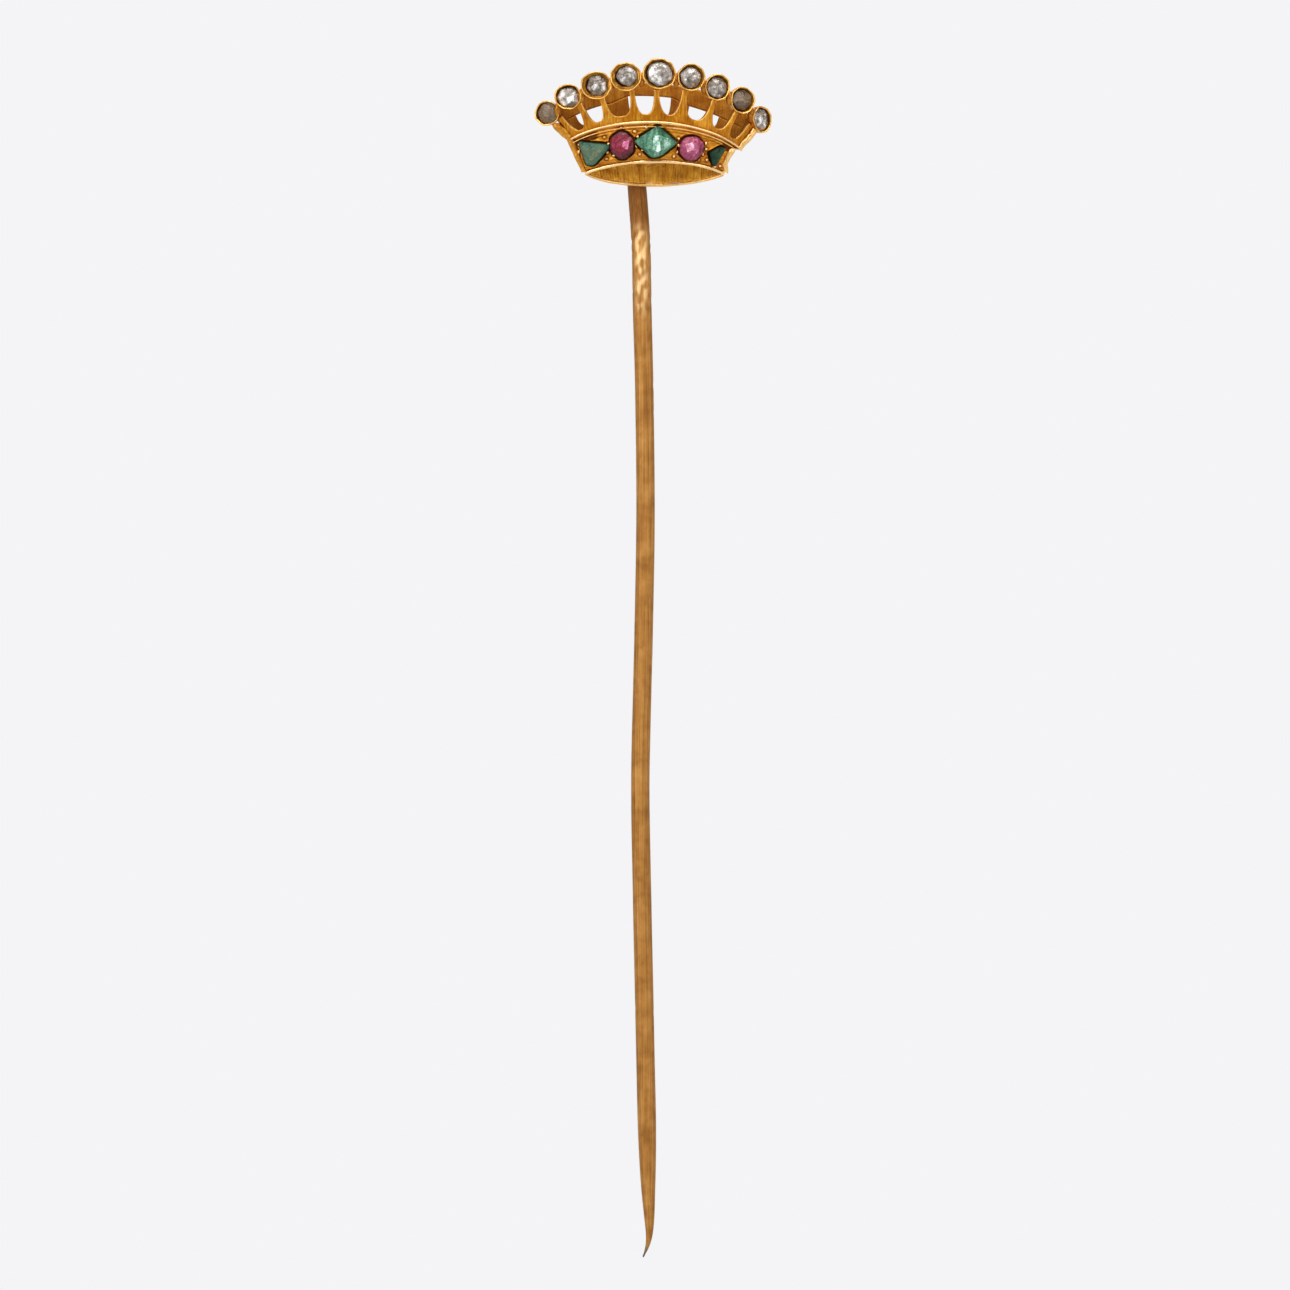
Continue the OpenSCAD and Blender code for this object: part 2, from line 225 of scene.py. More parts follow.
def mark(tree, name):
    # a value kept on the piece's vertices
    return addNode(tree, "ShaderNodeAttribute", {"attribute_name": name}, {}, 2)


def bumped(tree, height, depth):
    # the surface's direction over bumps up to depth millimetres high
    return addNode(tree, "ShaderNodeBump", {}, {"Height": height, "Strength": 1.0, "Distance": depth * mm})


def goldMaterial(name, look):
    # tone varies in soft blotches; a paler tone is laid on for wear and for painted highlights, and a browner
    # one for painted shade and a mottle; the surface has a fine grain, and drawn or filed lines, which run
    # with the piece's "flow" or along its axes
    material, tree = newMaterial(name)
    spot = placeOf(tree)
    blotch = noiseAt(tree, spot, 1.3, 4)
    grain = noiseAt(tree, spot, 9, 4, 0.6)
    if "flow" in look:
        lines = noiseAt(tree, flowOf(tree, look["flow"]), 1.0, 4, 0.6)
    else:
        lines = noiseAt(tree, placeOf(tree, look["lines"]), 1.0, 3, 0.6)
    tones = [(0.36, look["deep"]), (0.5, look["base"]), (0.66, look["pale"])]
    tone = ramped(tree, blotch * 0.5 + lines * 0.5, tones)
    wear = mark(tree, "wear")
    recess = mark(tree, "recess")
    # paler where there is wear and where a highlight is painted; browner where shade is painted, and in the
    # mottle
    tone = blendColour(tree, wear * (0.55 + 0.6 * grain), tone, look["wearAndSheenTone"])
    tone = blendColour(tree, recess, tone, look["shadeAndMottleTone"])
    if "tip" in look:                    # bare steel at the point
        tone = blendColour(tree, mark(tree, "tip"), tone, look["tip"])
    rough = look["rough"] + (grain - 0.5) * 0.25 + recess * 0.2 - wear * 0.14
    height = grain * look["grainHeight"] + lines * look["lineHeight"]
    finishMaterial(tree, {
        "Base Color": tone, "Metallic": look["metal"], "Roughness": rough,
        "Normal": bumped(tree, height, look["depth"])})
    return material


def stoneMaterial(name, look):
    # tone = the facet's painted reflection tone (the mark "tone") + the contrast times cloudy streaks of
    # stretched noise
    material, tree = newMaterial(name)
    spot = placeOf(tree, look["streak"])
    cloud = noiseAt(tree, spot, 1.0, 5, 0.65, 0.5)
    flake = noiseAt(tree, placeOf(tree), look["flakeScale"], 3, 0.7)
    facet = mark(tree, "tone")
    streaks = (cloud * 0.6 + flake * 0.4 - 0.5) * look["contrast"]
    tone = ramped(tree, facet * 0.42 + 0.29 + streaks, look["stops"])
    scratch = noiseAt(tree, placeOf(tree), 14, 3, 0.6)
    finishMaterial(tree, {
        "Base Color": tone, "Metallic": look["metal"], "Roughness": look["rough"] + scratch * 0.12,
        "IOR": look["ior"], "Specular IOR Level": look["shine"], "Coat Weight": 0.2, "Coat Roughness": 0.04,
        "Normal": bumped(tree, cloud * 0.5 + scratch * 0.5, look["depth"])})
    return material


# lines: how the lines are stretched along the object's axes; flow: the same along, up and round the piece
# besides the three blotch tones, each look has a paler tone for wear and painted highlights, and a darker one
# for painted shade and a mottle
goldLooks = {
    "stem": {
        "base": (0.40, 0.175, 0.03), "deep": (0.26, 0.10, 0.012), "pale": (0.52, 0.26, 0.065),
        "wearAndSheenTone": (1.0, 0.68, 0.32), "shadeAndMottleTone": (0.17, 0.048, 0.003), "tip": (0.10, 0.09, 0.085), "rough": 0.5,
        "metal": 0.6, "lines": (9, 9, 0.22), "lineHeight": 1.6, "grainHeight": 0.5, "depth": 0.03},
    "head": {
        "base": (0.582, 0.224, 0.015), "deep": (0.349, 0.101, 0.004), "pale": (0.776, 0.378, 0.045),
        "wearAndSheenTone": (0.951, 0.546, 0.125), "shadeAndMottleTone": (0.17, 0.04, 0.003), "rough": 0.38, "metal": 0.9,
        "flow": (1.6, 11, 5), "lineHeight": 0.8, "grainHeight": 0.7, "depth": 0.028},
    "gallery": {
        "base": (0.48, 0.175, 0.007), "deep": (0.28, 0.08, 0.002), "pale": (0.72, 0.36, 0.04),
        "wearAndSheenTone": (0.951, 0.546, 0.125), "shadeAndMottleTone": (0.22, 0.055, 0.004), "rough": 0.40, "metal": 0.9,
        "flow": (9, 1.2, 5), "lineHeight": 0.6, "grainHeight": 0.8, "depth": 0.03},
    "inner": {
        "base": (0.62, 0.26, 0.012), "deep": (0.262, 0.0748, 0.003), "pale": (0.92, 0.52, 0.07),
        "wearAndSheenTone": (0.97, 0.581, 0.12), "shadeAndMottleTone": (0.26, 0.075, 0.006), "rough": 0.40, "metal": 0.85,
        "flow": (8, 0.6, 3), "lineHeight": 1.3, "grainHeight": 0.6, "depth": 0.04},
    "rim": {
        "base": (0.78, 0.42, 0.10), "deep": (0.55, 0.25, 0.035), "pale": (0.94, 0.60, 0.22),
        "wearAndSheenTone": (1.0, 0.70, 0.34), "shadeAndMottleTone": (0.2, 0.055, 0.006), "rough": 0.36, "metal": 1.0,
        "lines": (5, 5, 5), "lineHeight": 0.4, "grainHeight": 0.5, "depth": 0.012},
    "collet": {
        "base": (0.66, 0.275, 0.028), "deep": (0.46, 0.15, 0.008), "pale": (0.825, 0.44, 0.075),
        "wearAndSheenTone": (0.97, 0.598, 0.16), "shadeAndMottleTone": (0.13, 0.032, 0.002), "rough": 0.36, "metal": 0.85,
        "lines": (4, 4, 4), "lineHeight": 0.6, "grainHeight": 0.7, "depth": 0.022},
}
gold = {key: goldMaterial(key + "Gold", look) for key, look in goldLooks.items()}
# stops: the colours from the darkest streak to the palest, the palest standing for painted glints; streak:
# how the streaks are stretched
stoneLooks = {
    "diamond": {
        "stops": [(0.22, (0.025, 0.018, 0.012)), (0.42, (0.13, 0.10, 0.075)), (0.58, (0.34, 0.30, 0.26)),
                  (0.74, (0.95, 0.95, 0.95))],
        "streak": (2.4, 2.4, 2.4), "flakeScale": 5, "contrast": 1.5,
        "shine": 0.6, "metal": 0.3, "rough": 0.1, "ior": 1.9, "depth": 0.03},
    "dimDiamond": {
        "stops": [(0.22, (0.045, 0.028, 0.016)), (0.5, (0.17, 0.115, 0.07)), (0.8, (0.34, 0.26, 0.18)),
                  (0.95, (0.6, 0.54, 0.46))],
        "streak": (2.0, 2.0, 2.0), "flakeScale": 7, "contrast": 0.9,
        "shine": 0.4, "metal": 0.1, "rough": 0.3, "ior": 1.5, "depth": 0.03},
    "murkyEmerald": {
        "stops": [(0.25, (0.008, 0.055, 0.03)), (0.42, (0.035, 0.12, 0.065)), (0.58, (0.10, 0.12, 0.055)),
                  (0.80, (0.24, 0.42, 0.30))],
        "streak": (1.2, 1.2, 0.8), "flakeScale": 6, "contrast": 0.9,
        "shine": 0.3, "metal": 0.0, "rough": 0.14, "ior": 1.55, "depth": 0.03},
    "emerald": {
        "stops": [(0.22, (0.004, 0.055, 0.028)), (0.40, (0.035, 0.17, 0.09)), (0.56, (0.12, 0.30, 0.19)),
                  (0.76, (0.72, 0.92, 0.82))],
        "streak": (2.2, 2.2, 0.6), "flakeScale": 7, "contrast": 1.9,
        "shine": 0.3, "metal": 0.0, "rough": 0.1, "ior": 1.6, "depth": 0.05},
    "deepEmerald": {
        "stops": [(0.25, (0.001, 0.01, 0.003)), (0.48, (0.004, 0.03, 0.01)), (0.62, (0.015, 0.10, 0.04)),
                  (0.80, (0.2, 0.5, 0.3))],
        "streak": (2.4, 2.4, 2.4), "flakeScale": 9, "contrast": 1.0,
        "shine": 0.12, "metal": 0.0, "rough": 0.16, "ior": 1.5, "depth": 0.05},
    "ruby": {
        "stops": [(0.22, (0.035, 0.001, 0.004)), (0.42, (0.17, 0.004, 0.02)), (0.58, (0.33, 0.014, 0.055)),
                  (0.76, (0.80, 0.27, 0.50))],
        "streak": (1.8, 1.8, 0.7), "flakeScale": 6, "contrast": 1.5,
        "shine": 0.2, "metal": 0.0, "rough": 0.12, "ior": 1.6, "depth": 0.05},
    "pinkRuby": {
        "stops": [(0.22, (0.09, 0.003, 0.018)), (0.42, (0.26, 0.02, 0.07)), (0.58, (0.40, 0.07, 0.15)),
                  (0.78, (0.90, 0.58, 0.72))],
        "streak": (2.2, 2.2, 1.4), "flakeScale": 6, "contrast": 1.6,
        "shine": 0.3, "metal": 0.0, "rough": 0.14, "ior": 1.6, "depth": 0.05},
}
stoneOf = {key: stoneMaterial(key + "Stone", look) for key, look in stoneLooks.items()}
print("stage: materials")


# the head's walls: level 0 is the lower rim, 1 the upper rim and 2 the line of collets
head = {
    "turn": 9.5, "x": 0.57, "y": -0.8, "z": 44.8, "fan": 60.0,
    "halfWidths": (3.82, 4.6, 5.93), "rises": (0, 1.57, 3.09), "bows": (1.2, 1.5, 1.8),
    "frontArches": (0.62, 1.14, 2.24), "backArches": (-0.6, 0.64, 1.88), "droops": (0, 0.23, 0.15),
    "frontHalf": 0.1, "backHalf": 0.09, "wallEnd": 56.8,
}
front, back = -1, 1
sinFan, cosFan = math.sin(math.radians(head["fan"])), math.cos(math.radians(head["fan"]))


def atLevel(key, h):
    # one of the head's measures, straight between its three levels
    return np.interp(h, (0, 1, 2), head[key])


def bowAt(a):
    # 0 at the head's ends and 1 in its middle: a circle's arc seen from the side
    return (np.cos(np.radians(a)) - cosFan) / (1 - cosFan)


def turnAt(a, h):
    # turn of the wall's outward side from straight ahead
    return np.arctan2(atLevel("bows", h) * np.sin(np.radians(a)) * sinFan,
                      atLevel("halfWidths", h) * np.cos(np.radians(a)) * (1 - cosFan))


def placed(p):
    # the head's own points turned about the upright axis and moved to its place on the stem
    c, s = math.cos(math.radians(head["turn"])), math.sin(math.radians(head["turn"]))
    return np.stack([head["x"] + p[..., 0] * c - p[..., 1] * s, head["y"] + p[..., 0] * s + p[..., 1] * c,
                     head["z"] + p[..., 2]], -1)


def wallAt(a, h, face, gap=0.0):
    # across = half width x sin, depth = bow, height = rise + arch x bow - droop, then out by the gap
    a, h = np.broadcast_arrays(np.asarray(a, float), np.asarray(h, float))
    across = np.sin(np.radians(a)) / sinFan
    turn = turnAt(a, h)
    arch = atLevel("frontArches" if face == front else "backArches", h)
    return placed(np.stack([
        atLevel("halfWidths", h) * across + gap * np.sin(turn),
        face * (atLevel("bows", h) * bowAt(a) + gap * np.cos(turn)),
        atLevel("rises", h) + arch * bowAt(a) - atLevel("droops", h) * across], -1))


def outwardAt(a, h, face):
    # the wall's outward direction, level with the ground
    return wallAt(a, h, face, 1.0) - wallAt(a, h, face)


def sheet(a, h, face, half, lift, dip=0.0):
    # a curved plate: outer skin at half + lift from the wall, inner skin at -half + dip, sides closed
    outer = wallAt(a, h, face, half + lift)
    inner = wallAt(a, h, face, -half + dip)
    cols, rows = a.shape
    count = a.size
    points = np.vstack([outer.reshape(-1, 3), inner.reshape(-1, 3)])
    index = np.arange(count).reshape(cols, rows)
    loop = np.concatenate([index[:, 0], index[-1, 1:], index[-2::-1, -1], index[0, -2:0:-1]])
    nextOne = np.roll(loop, -1)
    side = np.stack([loop, loop + count, nextOne + count, nextOne], 1)
    skin = gridFaces(cols, rows)
    flow = np.stack([np.radians(a) * atLevel("halfWidths", h) / sinFan, outer[..., 2] - head["z"], a * 0], -1)
    return points, [skin, skin[:, ::-1] + count, side], np.vstack([flow.reshape(-1, 3)] * 2)


def rounded(distance, half, radius):
    # half thickness near an edge: a quarter circle of the given radius
    d = np.clip(distance, 0, radius)
    return half - radius + np.sqrt(np.maximum(radius ** 2 - (radius - d) ** 2, 0))


# collets and their stones, left to right
colletRow = {
    "angles": (-60, -45, -30, -16, -0.5, 14.3, 28.5, 43.2, 59),
    "widths": (1.34, 1.50, 1.66, 1.70, 1.84, 1.52, 1.42, 1.41, 1.30),
    "heights": (1.36, 1.37, 1.54, 1.56, 1.66, 1.51, 1.45, 1.48, 1.46),
    "nudges": ((0.04, 0), (-0.04, -0.02), (-0.02, -0.1), (0, -0.03), (-0.02, 0.02), (0, 0.02), (-0.09, -0.05),
               (-0.05, -0.02), (-0.07, -0.05)),
    "turns": (0, 0, 0, 0, 0, 0, 0, 2, 11),          # each collet's further turn to the right, in degrees
    "depth": 0.7, "frontEdge": 0.2, "facing": 0.5, "wall": 0.075, "ledge": 0.25, "floor": 0.54,
    "flat": 0.018, "waver": (0.010, 0.013, 0.012, 0.008, 0.005),
    "lumpSize": 0.19, "lumpBack": 0.27, "lumpDown": 0.24,
}
diamondRow = {
    "sizes": ((1.03, 1.17), (1.20, 1.10), (1.04, 1.10), (1.12, 1.02), (1.40, 1.32), (1.12, 1.12),
              (1.09, 1.06), (1.12, 1.05), (1.06, 1.17)),
    "shifts": ((0.02, 0), (0.05, -0.05), (0.05, 0), (0.08, 0.05), (0.04, 0), (0, 0), (0, -0.02), (0, 0),
               (0, -0.03)),
    # whether it is matte, its middle tone and how far its facets stray from it; the facet tones are painted
    # reflections
    "tones": ((True, 0.55, 0.12), (False, 0.75, 0.35), (False, 0.34, 0.5), (False, 0.38, 0.2),
              (False, 0.62, 0.3), (False, 0.58, 0.3), (False, 0.42, 0.45), (True, 0.35, 0.3),
              (False, 0.33, 0.45)),
    "height": 0.26, "sunk": 0.03, "facetPairs": 6,
}


def colletFrame(k):
    # the middle of collet k's front edge, and its right, up and forward directions
    a = colletRow["angles"][k]
    turn = math.radians(head["turn"] + colletRow["turns"][k]) + colletRow["facing"] * float(turnAt(a, 2))
    forward = np.array([math.sin(turn), -math.cos(turn), 0])
    right = np.array([math.cos(turn), math.sin(turn), 0])
    across, rise = colletRow["nudges"][k]
    middle = wallAt(a, 2, front) + colletRow["frontEdge"] * forward + [across, 0, rise]
    return middle, right, np.array([0, 0, 1.0]), forward


def cupProfile(k):
    # (share of the half width, height): out along the base, up the wall, over the lip, and down a bore that
    # narrows like a funnel to the ledge under the stone
    depth, ledge, floor = colletRow["depth"], colletRow["ledge"], colletRow["floor"]
    w = colletRow["widths"][k] / 2
    lip = 1 - colletRow["wall"] / w      # inner edge of the rim
    seat = (sum(diamondRow["sizes"][k]) / 4 + 0.02) / w
    profile = np.array([
        [0.02, -depth], [0.6, -depth], [0.84, -depth], [0.89, -depth + 0.03], [0.95, -0.6 * depth],
        [0.985, -0.3 * depth], [1, -0.09], [1.003, -0.035], [0.985, -0.008], [0.962, 0],
        [0.945, 0], [0.925, -0.008], [lip, -0.03], [0.9 * lip + 0.1 * seat, -0.09],
        [0.4 * lip + 0.6 * seat, -0.19], [seat, -ledge], [0.6, -ledge - 0.04], [0.58, 0.01 - floor],
        [0.02, -floor]])
    fine = [np.linspace(a, b, 5)[:-1] for a, b in zip(profile, profile[1:])]
    return np.vstack(fine + [profile[-1:]])


def solderLump(k, t):
    # a ball drawn out upwards, between collet k and its right-hand neighbour
    middle, right, up, forward = colletFrame(k)
    s = np.linspace(0.02, math.pi - 0.02, 14)
    share = colletRow["widths"][k] / (colletRow["widths"][k] + colletRow["widths"][k + 1])
    joint = middle + (colletFrame(k + 1)[0] - middle) * share
    joint = joint - colletRow["lumpBack"] * forward - colletRow["lumpDown"] * up
    x, y = np.sin(s)[:, None] * np.cos(t), np.sin(s)[:, None] * np.sin(t)
    z = np.repeat(np.cos(s)[:, None], len(t), 1)
    ball = x[..., None] * right + 2.1 * y[..., None] * up + 0.9 * z[..., None] * forward
    return lathe(joint + colletRow["lumpSize"] * ball)


def makeCollet(k):
    # a turned cup: point = middle + half width x radius x cos + half height x radius x sin, at the profile's
    # height; the radius wavers by a sum of cosines, less the flats that a hammer leaves
    middle, right, up, forward = colletFrame(k)
    w, l = colletRow["widths"][k] / 2, colletRow["heights"][k] / 2
    fine = cupProfile(k)
    t = np.linspace(0, 2 * math.pi, 144, endpoint=False)
    waver = sum(size * np.cos(n * t + phase) for n, size, phase in zip(
        (2, 3, 5, 8, 11), dice.uniform(0.3, 1, 5) * colletRow["waver"], dice.uniform(0, 6.3, 5)))
    corners = dice.uniform(0, 6.3)
    waver = waver - colletRow["flat"] * np.abs(np.sin(4.5 * t + corners)) + colletRow["flat"] / 2
    lean = 0.025 * np.cos(t + dice.uniform(0, 6.3)) + 0.014 * np.cos(4 * t + dice.uniform(0, 6.3))
    radius = fine[:, :1] * (1 + waver)
    height = fine[:, 1:] + lean * step(fine[:, 1:], -0.4, 0)
    points = (middle + (w * radius * np.cos(t))[..., None] * right
              + (l * radius * np.sin(t))[..., None] * up + height[..., None] * forward)
    flat = points.reshape(-1, 3)
    swell = 0.012 * ripple(flat, 0.5, 40 + k) + 0.008 * ripple(flat, 0.2, 60 + k)
    points = points + swell.reshape(points.shape[:2])[..., None] * (points - middle)
    skin, faces = lathe(points)
    deep = -np.repeat(fine[:, 1], len(t))
    place = np.repeat(np.arange(len(fine)) / len(fine), len(t))
    # painted light: a highlight round the top of the rim and a paler band high in the bore; painted shade
    # deep in the bore and on the middle of its floor
    lit = np.exp(-((deep - 0.005) / 0.03) ** 2) * (0.7 + 0.3 * np.tile(np.cos(3 * t + corners), len(fine)))
    bored = step(place, 0.62, 0.7)       # 0 outside the cup and 1 down its bore
    glow = 0.22 * bored * step(deep, 0.0, 0.05) * step(deep, 0.2, 0.12)
    wear = np.append(np.clip(lit + glow, 0, 1), [0, 0])
    recess = np.append(bored * step(deep, 0.21, 0.25), [0, 1])
    if k + 1 < len(colletRow["angles"]):
        lump, lumpFaces = solderLump(k, t)
        skin, faces = join([(skin, faces), (lump, lumpFaces)])
        # the lumps, back between the collets, take painted shade throughout
        wear, recess = np.append(wear, np.zeros(len(lump))), np.append(recess, np.full(len(lump), 0.4))
    addMesh(f"collet_{k + 1}_cup", skin, faces, gold["collet"], [f"collet_{k + 1}"],
            {"wear": wear, "recess": recess})


def outlineReach(spec, t):
    # a stone's outline, a rounded polygon: radius = (sum of (cos(angle - side) / distance) ^ p) ^ (-1 / p)
    sides = np.radians([s[0] for s in spec["sides"]])
    reach = np.array([s[1] for s in spec["sides"]])
    p = spec["power"]
    return (np.maximum(np.cos(t[..., None] - sides) / reach, 0) ** p).sum(-1) ** (-1 / p)


def stoneMesh(name, spec, spot, axes, material, nodes):
    # height over the outline = the lowest of tilted planes, one to a facet, never under the girdle, + chips
    t = np.linspace(0, 2 * math.pi, 132, endpoint=False)
    edge = outlineReach(spec, t)
    rho = np.linspace(0, 1, 34)[1:]
    x, y = rho[:, None] * edge * np.cos(t), rho[:, None] * edge * np.sin(t)
    planes = [height - slope * (x * math.cos(math.radians(way)) + y * math.sin(math.radians(way)))
              for way, slope, height in spec["facets"]]
    # each point takes its facet's tone, a painted reflection
    tone = np.array(spec["tones"])[np.argmin(planes, axis=0)]
    z = np.maximum(np.min(planes, axis=0), spec["girdle"])
    flat = np.stack([x, y, z], -1).reshape(-1, 3)
    chips = ripple(flat, 0.45, spec["seed"]) + 0.6 * np.abs(ripple(flat, 0.2, spec["seed"] + 50))
    z = z + spec.get("rough", 0.022) * chips.reshape(z.shape)
    below = [(1.0, spec["girdle"] * 0.5), (0.96, -spec["foot"])]       # rings down the side: share and height
    x = np.vstack([x] + [x[-1:] * share for share, _ in below])
    y = np.vstack([y] + [y[-1:] * share for share, _ in below])
    z = np.vstack([z] + [np.full((1, len(t)), height) for _, height in below])
    right, up, out = axes
    skin, faces = lathe(spot + x[..., None] * right + y[..., None] * up + z[..., None] * out)
    # painted shade: the tone darkens towards the girdle, and the sides below it are darkest
    shade = 0.35 + 0.65 * step(rho[:, None], 0.97, 0.8)                # darker towards the girdle
    tone = np.append(np.vstack([tone * shade, np.zeros((2, len(t)))]).ravel(), [tone[0].mean(), 0])
    addMesh(name, skin, faces, material, nodes, {"tone": tone}, smooth=False)


def roseFacets(r, d):
    # two tiers of facets round a point, none quite even: few and flat above, many and steep below
    tall, sides = diamondRow["height"], diamondRow["facetPairs"]
    turn = d.uniform(0, 60)
    top = [(turn + 360 / sides * i + d.uniform(-14, 14), tall / r * d.uniform(0.28, 0.5),
            tall * d.uniform(0.97, 1.06)) for i in range(sides)]
    low = [(turn + 180 / sides + 180 / sides * i + d.uniform(-7, 7), tall / r * d.uniform(1.1, 1.5),
            tall * d.uniform(1.42, 1.6)) for i in range(2 * sides)]
    return top + low


def makeDiamond(k):
    # a small rose-cut stone low in its collet: its sides lie on an oval, and each facet has its own painted
    # tone, for the light it reflects
    middle, right, up, forward = colletFrame(k)
    w, l = diamondRow["sizes"][k]
    d = np.random.default_rng(200 + k)
    count = int(d.integers(7, 10))
    sides = []
    for i in range(count):
        f = 360 * (i + d.uniform(-0.2, 0.2)) / count
        reach = math.hypot(w / 2 * math.cos(math.radians(f)), l / 2 * math.sin(math.radians(f)))
        sides.append((f, reach * d.uniform(0.94, 1.0)))
    facets = roseFacets(w / 2, np.random.default_rng(300 + k))
    matte, tone, stray = diamondRow["tones"][k]
    spec = {"sides": sides, "facets": facets, "girdle": 0.05, "foot": 0.04, "seed": k, "power": 22,
            "rough": 0.014, "tones": np.clip(tone + stray * d.uniform(-1, 1, len(facets)), 0, 1)}
    across, rise = diamondRow["shifts"][k]
    spot = middle - (colletRow["ledge"] - diamondRow["sunk"]) * forward + across * right + rise * up
    material = stoneOf["dimDiamond" if matte else "diamond"]
    stoneMesh(f"diamond_{k + 1}_rose", spec, spot, (right, up, forward), material,
              [f"diamond_{k + 1}"])


for k in range(len(colletRow["angles"])):
    makeCollet(k)
    makeDiamond(k)
print("stage: collets and diamonds")


# front gallery: a pierced strip with a window between each pair of posts
gallery = {
    "posts": (-60, -42, -29.5, -14, -1.5, 12.5, 28.5, 43, 60),
    "postReach": (1.36, 1.46, 1.60, 1.64, 1.78, 1.50, 1.40, 1.42, 1.46),      # width of the collet above each
    "firstWindow": 53.8, "sillMiddle": 0.47, "sillEnd": 0.16, "postHalf": 0.15, "corner": 2.5,
    "edgeRadius": 0.07, "rows": 22, "inward": 0.1,
}


def galleryReach(a):
    # distance up the wall from the upper rim to the line of collets
    return float(np.linalg.norm(wallAt(a, 2, front) - wallAt(a, 1, front)))


def crowded(start, end, count):
    # angles from start to end, closer together at both ends
    return start + (end - start) * (1 - np.cos(np.linspace(0, math.pi, count))) / 2


def uEdge(a0, a1, sill, tops, p, count):
    # angle and level along a U-shaped opening: a superellipse of power p
    f = np.linspace(-math.pi / 2, math.pi / 2, count)
    t = np.sign(f) * np.abs(np.sin(f)) ** (2 / p)
    top = tops[0] + (tops[1] - tops[0]) * (t + 1) / 2
    return (a0 + a1) / 2 + t * (a1 - a0) / 2, sill + (top - sill) * (1 - np.abs(np.cos(f)) ** (2 / p))


def postLevel(k):
    # the level where post k goes in under the edge of its collet
    a = gallery["posts"][k]
    aside = np.linalg.norm(wallAt(a, 2, front) - wallAt(colletRow["angles"][k], 2, front))
    r = gallery["postReach"][k] / 2 - 0.03
    return 2 - math.sqrt(max(0, r * r - aside * aside)) / galleryReach(a)


def postHalf(k):
    # half the angle that post k fills, not quite even
    a = gallery["posts"][k]
    perDegree = float(np.linalg.norm(wallAt(a + 0.5, 2, front) - wallAt(a - 0.5, 2, front)))
    return gallery["postHalf"] * dice.uniform(0.9, 1.15) / perDegree


def galleryEdge():
    # the strip's top edge from left to right: along each post's top, then down and up round each window
    end, last = head["wallEnd"], len(gallery["posts"]) - 1
    angles, levels = [np.array([-end])], [np.array([postLevel(0)])]
    for k in range(last):
        left, right = postHalf(k), postHalf(k + 1)
        a0 = gallery["posts"][k] + left if k else -gallery["firstWindow"]
        a1 = gallery["posts"][k + 1] - right if k + 1 < last else gallery["firstWindow"]
        middle = (a0 + a1) / 2
        rise = gallery["sillEnd"] + (gallery["sillMiddle"] - gallery["sillEnd"]) * bowAt(middle)
        a, h = uEdge(a0, a1, 1 + rise / galleryReach(middle), (postLevel(k), postLevel(k + 1)),
                     gallery["corner"] + dice.uniform(-0.2, 0.5), 45)
        post = crowded(angles[-1][-1], a[0], 13 if k else 9)[1:-1]
        angles += [post, a]
        levels += [np.full(len(post), postLevel(k)), h]
    post = crowded(angles[-1][-1], end, 9)[1:]
    return np.concatenate(angles + [post]), np.concatenate(levels + [np.full(len(post), postLevel(last))])


def makeGallery():
    # columns rise from the upper rim to the top edge; half thickness falls in a quarter circle at the edge,
    # and the inner skin is left further in
    topA, topH = galleryEdge()
    v = 1 - (1 - np.linspace(0, 1, gallery["rows"])) ** 1.6        # rows crowd towards the top edge
    a = np.repeat(topA[:, None], len(v), 1)
    h = 1 + (topH[:, None] - 1) * v
    edge = wallAt(topA, topH, front)
    dense = np.vstack([np.linspace(p, q, 6)[:-1] for p, q in zip(edge, edge[1:])])
    body = wallAt(a, h, front)
    distance = nearest(body, dense)
    half = rounded(distance, head["frontHalf"], gallery["edgeRadius"])
    flat = body.reshape(-1, 3)
    lift = (0.012 * ripple(flat, 0.9, 5) + 0.006 * ripple(flat, 0.35, 6)).reshape(a.shape)
    points, faces, flow = sheet(a, h, front, half, lift, lift - gallery["inward"])
    # painted highlights along the rounded edges, fainter on the inner skin; painted shade low down beside the
    # upper rim and over all the inner skin
    wear = np.exp(-(distance.ravel() / 0.045) ** 2) * (0.75 + 0.25 * ripple(flat, 0.8, 7))
    recess = 0.5 * step(h, 1.1, 1.0).ravel()
    addMesh("gallery_pierced", points, faces, gold["gallery"], ["front_gallery"],
            {"wear": np.concatenate([wear * 0.9, wear * 0.4]),
             "recess": np.concatenate([recess, np.full(len(wear), 0.5)]), "flow": flow})


makeGallery()
print("stage: gallery")
